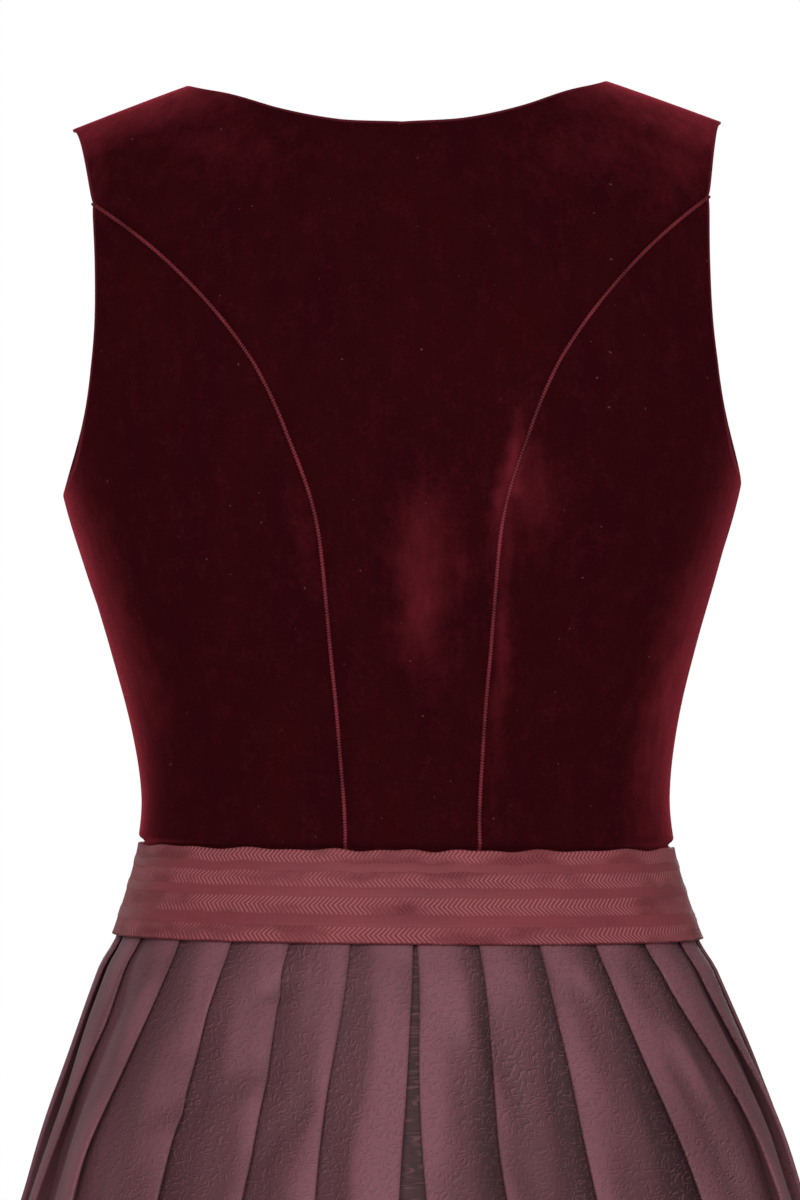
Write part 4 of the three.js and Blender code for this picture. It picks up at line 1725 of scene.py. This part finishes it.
class FoldPoint(NamedTuple):
    """A point of a pressed knife pleat one visible width wide.

    along runs towards the folded edge at 1, depth counts layers down from the outside, and share
    is how far along the pleat's cloth the point lies.
    """

    along: float
    depth: float
    share: float


class Opening(NamedTuple):
    """How deep the soft folds between the pleats are at a height: half their depth."""

    z: float
    flute: float


class Drape(NamedTuple):
    """How a pleat hangs on the wearer's left and on the right.

    The drifts say how far its edge moves outwards by the hips, in shares of a pleat, and the
    deeps how deep its soft fold is, as shares of the usual.
    """

    left_drift: float
    right_drift: float
    left_deep: float
    right_deep: float


@dataclass
class Skirt:
    """The skirt: two widths of jacquard in knife pleats that turn away from the centre back."""

    figure: Figure
    wall: float = 1.0
    band_wall: float = 1.8
    under_band: float = 0.9
    band_bottom: float = -425.4
    band_ease: float = 16
    top: float = -402.3
    hem: float = -1130
    pleats: int = 13
    side_pleat: int = 6
    layer_step: float = 1.7
    centre_shown: float = 10
    drift_top: float = -429
    drift_full: float = -537
    drift_faded: float = -760
    rows: int = 104
    ring_steps: int = 240
    halvings: int = 30
    softening: int = 2
    row_power: float = 1.25  # above 1, the rows of points lie closer near the waist
    lean: float = 0.10  # added to sunk as painted shade on the outer pleats, which lean away from the middle
    lean_start: float = 0.16  # in radians from the centre back or front
    lean_full: float = 0.42
    crest_reach: float = 0.07  # sunk, up to which the cloth still counts as a crest
    last_point: float = 0.6  # where the centre back's last point lies, as a share of the shown width
    waver: float = 0.04  # how far a pleat's edge wanders to and fro, in shares of a pleat
    waver_length: float = 34
    waver_top: float = -440
    waver_full: float = -500
    rumple: float = 0.7
    crease_shade: float = 0.15  # how much less sunk the cloth counts for each millimetre of a ridge
    crease_start: float = 14  # how far below the band the creases have their full depth
    seam_press: float = 0.03  # how far the panels' ends press past their side seam
    edge_round: float = 0.4
    edge_inset: float = 0.25

    pleat: tuple[FoldPoint, ...] = (
        FoldPoint(-0.7, 2, 0.025),
        FoldPoint(-0.05, 2, 0.27),
        FoldPoint(0.22, 0.25, 0.38),
        FoldPoint(0.6, 0, 0.53),
        FoldPoint(0.98, 0, 0.68),
        FoldPoint(0.98, 1, 0.72),
        FoldPoint(0.3, 1, 0.955),
    )
    openings: tuple[Opening, ...] = (
        Opening(-402, 0),
        Opening(-429, 0.3),
        Opening(-480, 2),
        Opening(-537, 4.4),
        Opening(-640, 7.5),
        Opening(-780, 10),
        Opening(-950, 11.5),
        Opening(-1130, 11),
    )
    drapes: tuple[Drape, ...] = (
        Drape(0.13, -0.15, 0.97, 1.12),
        Drape(0.12, -0.14, 0.85, 0.95),
        Drape(-0.06, -0.15, 0.93, 1.1),
        Drape(0.07, 0.24, 0.97, 1),
        Drape(0.42, 0.85, 1, 1),
        Drape(0.34, 0.78, 1, 1),
        Drape(0.26, 0.66, 1, 1),
        Drape(0.18, 0.54, 1, 1),
        Drape(0.1, 0.42, 1, 1),
        Drape(0.05, 0.3, 1, 1),
        Drape(0, 0.18, 1, 1),
        Drape(0, 0.08, 1, 1),
        Drape(0, 0, 1, 1),
    )
    creases: tuple[Crease, ...] = (
        Crease(24, -500, 33, -528, 5, -2.2),
        Crease(33, -487, 54, -511, 6, -1.8),
        Crease(34, -430, 37, -442, 6, 1.8),
        Crease(29, -446, 37, -452, 4, -1.6),
        Crease(45, -436, 50, -470, 6, 1.6),
        Crease(-17, -458, -23, -520, 6, -2.4),
        Crease(-20, -520, -22, -560, 6, -1.8),
        Crease(62, -430, 74, -470, 7, -1.4),
        Crease(-58, -470, -66, -545, 6, 1.8),
        Crease(-55, -486, -61, -545, 4, -1.8),
        Crease(-40, -434, -44, -455, 6, 1.3),
        Crease(-9, -430, -13, -470, 8, 0.8),
        Crease(7, -470, 9, -530, 8, 0.8),
        Crease(12, -520, 17, -600, 9, 1.3),
        Crease(-8, -560, -14, -660, 10, -1.5),
        Crease(96, -440, 108, -486, 8, -1.3),
        Crease(-100, -445, -92, -500, 8, -1.2),
        Crease(130, -450, 140, -510, 8, 1.2),
        Crease(-138, -446, -126, -505, 8, 1.3),
        Crease(170, -470, 158, -540, 9, -1.2),
        Crease(40, -640, 48, -760, 12, 1.8),
        Crease(-50, -650, -42, -790, 12, -1.8),
        Crease(118, -640, 110, -780, 12, 1.6),
        Crease(-112, -660, -120, -800, 12, -1.6),
    )

    def half_ring(self, z: float) -> tuple[float, np.ndarray, np.ndarray]:
        """Half of the skirt's outline at a height, by length from the centre back.

        Args:
            z: The height.

        Returns:
            The whole length, the running length and the points x, y.
        """
        turn = np.linspace(0, np.pi, self.ring_steps + 1)
        x, y, middle = self.figure.outline(np.full_like(turn, z), turn)
        places = np.stack([x, y + middle], 1)
        length = line_lengths(places)
        return float(length[-1]), length, places

    def wave(self, flute: float) -> np.ndarray:
        """The depth of a soft wave at each point of a pleat: flute (1 + cos(pi t)).

        t runs from the trough at 0 to the crest, which is the folded edge, at 1.

        Args:
            flute: Half the wave's depth.

        Returns:
            The depth at each of the pleat's points.
        """
        share = np.array([point.share for point in self.pleat])
        crest = share[4]
        from_trough = np.where(share < crest, share / crest, (1 - share) / (1 - crest))
        return flute * (1 + np.cos(np.pi * from_trough))

    def pleat_shape(self, opened: float, flute: float) -> tuple[np.ndarray, np.ndarray]:
        """A pleat part-way from pressed, at 0, to a soft wave, at 1.

        Args:
            opened: How far the pleat has opened.
            flute: Half the wave's depth.

        Returns:
            Each point's place along the pleat and its depth.
        """
        along = np.array([point.along for point in self.pleat])
        depth = np.array([point.depth for point in self.pleat]) * self.layer_step
        share = np.array([point.share for point in self.pleat])
        return along * (1 - opened) + share * opened, depth * (1 - opened) + self.wave(flute)

    @staticmethod
    def cloth_length(along: np.ndarray, depth: np.ndarray, pitch: float) -> float:
        """The length of a pleat's cloth, up to the first point of the next pleat.

        Args:
            along: The points' places along the pleat.
            depth: Their depths.
            pitch: The pleat's visible width.

        Returns:
            The length.
        """
        x = np.append(along, along[0] + 1) * pitch
        y = np.append(depth, depth[0])
        return float(np.hypot(np.diff(x), np.diff(y)).sum())

    def openness(self, pitch: float, flute: float) -> float:
        """How far the pleats have opened where they are this wide, so that the cloth keeps its length.

        Args:
            pitch: The pleats' visible width.
            flute: Half the depth of their soft wave.

        Returns:
            0 for pressed pleats and 1 for a soft wave.
        """
        pressed_pitch = self.half_ring(self.figure.waist_seam)[0] / self.pleats
        wanted = self.cloth_length(*self.pleat_shape(0, 0), pressed_pitch)
        low, high = 0.0, 1.0
        for _ in range(self.halvings):
            middle = (low + high) / 2
            longer = self.cloth_length(*self.pleat_shape(middle, flute), pitch) > wanted
            low, high = (middle, high) if longer else (low, middle)
        return (low + high) / 2

    def drift(self, pleat: int, side: Side, z: float) -> float:
        """How far a pleat's edge has drifted at a height, in shares of a pleat.

        Args:
            pleat: Its number, counted from the centre back.
            side: The wearer's side.
            z: The height.

        Returns:
            The drift, outwards.
        """
        if pleat == self.pleats:
            return 0.0
        drape = self.drapes[pleat]
        grown = smooth_step(self.drift_top, self.drift_full, z)
        waver = self.waver * math.sin(z / self.waver_length + 2.3 * pleat + side.value)
        waver *= smooth_step(self.waver_top, self.waver_full, z)
        grown = grown - 0.5 * smooth_step(self.drift_full, self.drift_faded, z)
        return float((drape.left_drift if side is Side.LEFT else drape.right_drift) * grown + waver)

    def half_line(self, z: float, side: Side) -> tuple[np.ndarray, int]:
        """The cloth's middle line on one half at a height, from the centre front to the centre back.

        Args:
            z: The height.
            side: The wearer's side.

        Returns:
            The points x, y with how far each is sunk, and the number of the first point behind
            the side seam.
        """
        ease = smooth_step(self.band_bottom - self.band_ease, self.band_bottom, z)
        inset = (self.band_wall + self.under_band) * float(ease) + self.wall / 2
        total, length, places = self.half_ring(z)
        heights = np.array([row.z for row in self.openings])
        flutes = np.array([row.flute for row in self.openings])
        flute = float(through_rows(heights, flutes, np.array(z)))
        opened = self.openness(total / self.pleats, flute)
        shown = self.centre_shown * opened * opened
        pitch = (total - shown) / self.pleats
        along, depth = self.pleat_shape(opened, flute)
        wave = self.wave(flute)
        distances, depths = [], []
        cut = 0
        for pleat in range(self.pleats - 1, -1, -1):
            inner = pleat + self.drift(pleat, side, z)
            width = (pleat + 1 + self.drift(pleat + 1, side, z) - inner) * pitch
            first = 2 if pleat == self.pleats - 1 else 0
            if pleat == self.side_pleat:
                cut = sum(len(part) for part in distances) + 1
            drape = self.drapes[pleat]
            deeper = (drape.left_deep if side is Side.LEFT else drape.right_deep) - 1
            distances.append(shown + inner * pitch + width * (1 - along[first:]))
            depths.append((depth + wave * deeper)[first:])
        distances.append(np.array([shown * self.last_point + inner * pitch - width * along[0]]))
        depths.append(depth[:1])
        distance, deep = np.concatenate(distances), np.concatenate(depths)
        wanted = np.clip(distance, 0, total)
        k = np.clip(np.searchsorted(length, wanted) - 1, 0, len(length) - 2)
        way = unit(places[k + 1] - places[k])
        t = ((wanted - length[k]) / (length[k + 1] - length[k]))[:, None]
        point = places[k] * (1 - t) + places[k + 1] * t + way * (distance - wanted)[:, None]
        out = np.stack([-way[:, 1], way[:, 0]], 1)
        point = (point - out * (deep + inset)[:, None]) * np.array([side.value, 1.0])
        return np.concatenate([point, deep[:, None] / max(depth.max(), 1e-9)], axis=1), cut

    def line(self, z: float, on_back: bool) -> np.ndarray:
        """One panel's middle line at a height, leftwards round the figure as seen from outside.

        Args:
            z: The height.
            on_back: Whether it is the back panel.

        Returns:
            The points x, y with how far each is sunk.
        """
        halves = []
        for side in (Side.RIGHT, Side.LEFT) if on_back else (Side.LEFT, Side.RIGHT):
            points, cut = self.half_line(z, side)
            before, after = points[cut - 1], points[cut]
            way = (after - before) / np.linalg.norm(after[:2] - before[:2])
            sign = 1 if on_back else -1
            end = (before + after) / 2 - way * sign * self.seam_press
            kept = points[cut:] if on_back else points[:cut][::-1]
            halves.append(np.concatenate([end[None], kept]))
        return np.concatenate([halves[0], halves[1][::-1]])

    def rumples(self, turn: np.ndarray, z: np.ndarray) -> np.ndarray:
        """The cloth's slight unevenness: rumple times the sum of three slanting sines.

        Args:
            turn: Radians from the centre back.
            z: Heights.

        Returns:
            How far each place moves outwards.
        """
        first = np.sin(z / 21 + 7.3 * turn)
        second = np.sin(z / 13 - 19.1 * turn + 1.7)
        return self.rumple * (first + second + 0.7 * np.sin(z / 47 + 31.7 * turn + 0.6)) / 2

    @staticmethod
    def soften(lines: np.ndarray) -> np.ndarray:
        """Cuts the corners of lines: each inner stretch keeps its points at 1/4 and 3/4.

        Args:
            lines: Lines, points and coordinates.

        Returns:
            The lines, with about twice as many points each.
        """
        start, end = lines[:, :-1], lines[:, 1:]
        cut = np.stack([start * 0.75 + end * 0.25, start * 0.25 + end * 0.75], 2)
        cut = cut.reshape(lines.shape[0], -1, lines.shape[2])
        return np.concatenate([lines[:, :1], cut[:, 1:-1], lines[:, -1:]], axis=1)

    def panel(self, on_back: bool) -> Cloth:
        """Makes a skirt panel's cloth: softened pleat lines at rising heights, offset both ways.

        Args:
            on_back: Whether it is the back panel.

        Returns:
            The cloth.
        """
        share = np.linspace(0, 1, self.rows + 1) ** self.row_power
        heights = (self.top + (self.hem - self.top) * share)[::-1]
        lines = np.stack([self.line(z, on_back) for z in heights])
        for _ in range(self.softening):
            lines = self.soften(lines)
        sunk = lines[..., 2]
        lines = lines[..., :2]
        z = np.broadcast_to(heights[:, None], lines.shape[:2])
        middle = self.figure.column("middle", z)
        turn = np.arctan2(lines[..., 0], lines[..., 1] - middle)
        from_middle = np.minimum(np.abs(turn), np.pi - np.abs(turn))
        # the outer pleats, which lean away, get more painted shade, and the creases' ridges less
        leaning = smooth_step(self.lean_start, self.lean_full, from_middle)
        sunk = sunk + self.lean * leaning * smooth_step(0, self.crest_reach, sunk)
        reach = np.hypot(lines[..., 0], lines[..., 1] - middle)
        moved = crease_relief(self.creases, turn, z, reach) + self.rumples(turn, z)
        moved *= smooth_step(self.band_bottom, self.band_bottom - self.crease_start, z)
        sunk = sunk - moved * self.crease_shade
        way = np.stack([np.sin(turn), np.cos(turn)], -1)
        lines = lines + way * moved[..., None]
        along = unit(np.gradient(lines, axis=1))
        out = np.stack([-along[..., 1], along[..., 0]], -1)
        skins = []
        for distance in (self.wall / 2, -self.wall / 2):
            flat = lines + out * distance
            points = np.concatenate([flat, z[..., None]], -1)
            skins.append(self.figure.settle(drawn_in(points, self.edge_inset)))
        above_hem = z - self.hem
        chart = np.stack([np.broadcast_to(row_lengths(lines[:1]), z.shape), above_hem], -1)
        return Cloth(skins[0], skins[1], chart, above_hem, sunk, roundness=self.edge_round)

    def build(self, jacquard: Finish) -> list[bpy.types.Object]:
        """Makes and dresses both panels, each in place of its node.

        Args:
            jacquard: The skirt's finish.

        Returns:
            The panels.
        """
        pieces = []
        for node, on_back in (("skirt_back", True), ("skirt_front", False)):
            cloth = self.panel(on_back)
            piece = cloth.mesh(f"{node}_jacquard")
            stand_for(piece, node, jacquard)
            pieces.append(piece)
        return pieces


class Lamp(NamedTuple):
    """A soft area light that faces the dress: its place and width in metres, its power in watts."""

    name: str
    place: Triple
    size: float
    power: float


@dataclass
class Studio:
    """The camera where the photograph was taken from, soft lights and a pale floor."""

    azimuth: float = 182
    distance: float = 3.6
    roll: float = 0.8
    lens: float = 215.4  # on a 36 mm sensor along the picture's height
    target: Triple = (0.002, 0, -0.2565)
    floor_height: float = -1.36
    floor_reach: float = 3.4
    floor_corners: int = 96
    room_light: float = 0.28
    floor_solid: float = 0.55  # shares of its reach where the floor starts and ends to fade
    floor_gone: float = 0.98
    aim: Triple = (0, 0, -0.45)
    lamps: tuple[Lamp, ...] = (
        Lamp("key", (0.35, 3.7, 0.55), 1.6, 92),
        Lamp("fill", (-2.3, 2.8, 0.3), 1.8, 14),
        Lamp("front", (-0.4, -3.7, 0.55), 1.8, 84),
        Lamp("front_side", (2.4, -2.6, 0.6), 1.8, 12),
    )

    def camera(self) -> None:
        """Places the camera on a level line of sight, tipped sideways by the photograph's roll."""
        turn = math.radians(self.azimuth)
        forward = Vector((math.sin(turn), math.cos(turn), 0))
        data = bpy.data.cameras.new("camera")
        data.lens = self.lens
        data.sensor_width = 36
        data.clip_start = 0.05
        data.clip_end = 60
        camera = bpy.data.objects.new("camera", data)
        camera.matrix_world = (
            Matrix.Translation(Vector(self.target) - forward * self.distance)
            @ forward.to_track_quat("-Z", "Y").to_matrix().to_4x4()
            @ Matrix.Rotation(-math.radians(self.roll), 4, "Z")
        )
        bpy.context.scene.collection.objects.link(camera)
        bpy.context.scene.camera = camera

    def light(self, lamp: Lamp) -> None:
        """Hangs a lamp so that it faces the dress.

        Args:
            lamp: The lamp.
        """
        data = bpy.data.lights.new(lamp.name, "AREA")
        data.size = lamp.size
        data.energy = lamp.power
        light = bpy.data.objects.new(lamp.name, data)
        light.location = lamp.place
        light.rotation_mode = "QUATERNION"
        light.rotation_quaternion = (Vector(self.aim) - Vector(lamp.place)).to_track_quat("-Z", "Y")
        bpy.context.scene.collection.objects.link(light)

    def world(self) -> None:
        """Fills the room with white light, brighter where the camera sees it directly."""
        world = bpy.data.worlds.new("studio")
        world.use_nodes = True
        bpy.context.scene.world = world
        tree = world.node_tree
        tree.nodes.clear()
        path = tree.nodes.new("ShaderNodeLightPath")
        seen, fill = (tree.nodes.new("ShaderNodeBackground") for _ in range(2))
        for background, strength in ((seen, 1.0), (fill, self.room_light)):
            background.inputs["Color"].default_value = (1, 1, 1, 1)
            background.inputs["Strength"].default_value = strength
        mixed = tree.nodes.new("ShaderNodeMixShader")
        out = tree.nodes.new("ShaderNodeOutputWorld")
        tree.links.new(path.outputs["Is Camera Ray"], mixed.inputs[0])
        tree.links.new(fill.outputs[0], mixed.inputs[1])
        tree.links.new(seen.outputs[0], mixed.inputs[2])
        tree.links.new(mixed.outputs[0], out.inputs["Surface"])

    def floor(self) -> None:
        """Lays a round pale floor under the hanging dress, whose rim fades out."""
        turn = np.linspace(0, 2 * np.pi, self.floor_corners, endpoint=False)
        rings = np.array([0.0, 0.25, 0.5, 1.0])[:, None] * self.floor_reach / MM
        x, y = rings * np.cos(turn), rings * np.sin(turn)
        points = np.stack([x, y, np.full_like(x, self.floor_height / MM)], -1).reshape(-1, 3)
        floor = make_object("floor", points, ring_faces(*x.shape)[:, ::-1], points[:, :2], {})
        finish = Finish("pale_floor")
        place = finish.object_place()
        x_place, y_place, _ = finish.parts(place)
        away = (x_place * x_place + y_place * y_place) ** 0.5
        alpha = 1 - away.step(self.floor_reach * self.floor_solid, self.floor_reach * self.floor_gone)
        pale = finish.blend(finish.noise(place, Grain(40, 3)), (0.78, 0.77, 0.76), (0.84, 0.83, 0.82))
        finish.fill(finish.shader, {"Base Color": pale, "Alpha": alpha, "Roughness": 0.8})
        finish.dress(floor)

    def build(self) -> None:
        """Sets up the whole studio."""
        self.camera()
        self.world()
        for lamp in self.lamps:
            self.light(lamp)
        self.floor()
        bpy.context.scene.view_settings.view_transform = "Standard"


def main() -> None:
    """Builds the dress around the frame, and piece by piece."""
    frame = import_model()
    LOG.info("the frame has %d nodes", len(frame["nodes"]))
    Studio().build()
    figure = Figure()
    bodice = Bodice(figure)
    for piece in bodice.build(Velvet().make()):
        LOG.info("made %s", piece.name)
    cord = SeamCord(bodice)
    satin = CordSatin().make()
    for on_back in (True, False):
        for side in Side:
            LOG.info("made %s", cord.build(on_back, side, satin).name)
    LOG.info("made %s", WaistBand(figure).build(BandWeave().make()).name)
    for piece in Skirt(figure).build(Jacquard().make()):
        LOG.info("made %s", piece.name)


if __name__ == "__main__":
    logging.basicConfig(level=logging.INFO, format="%(message)s")
    main()
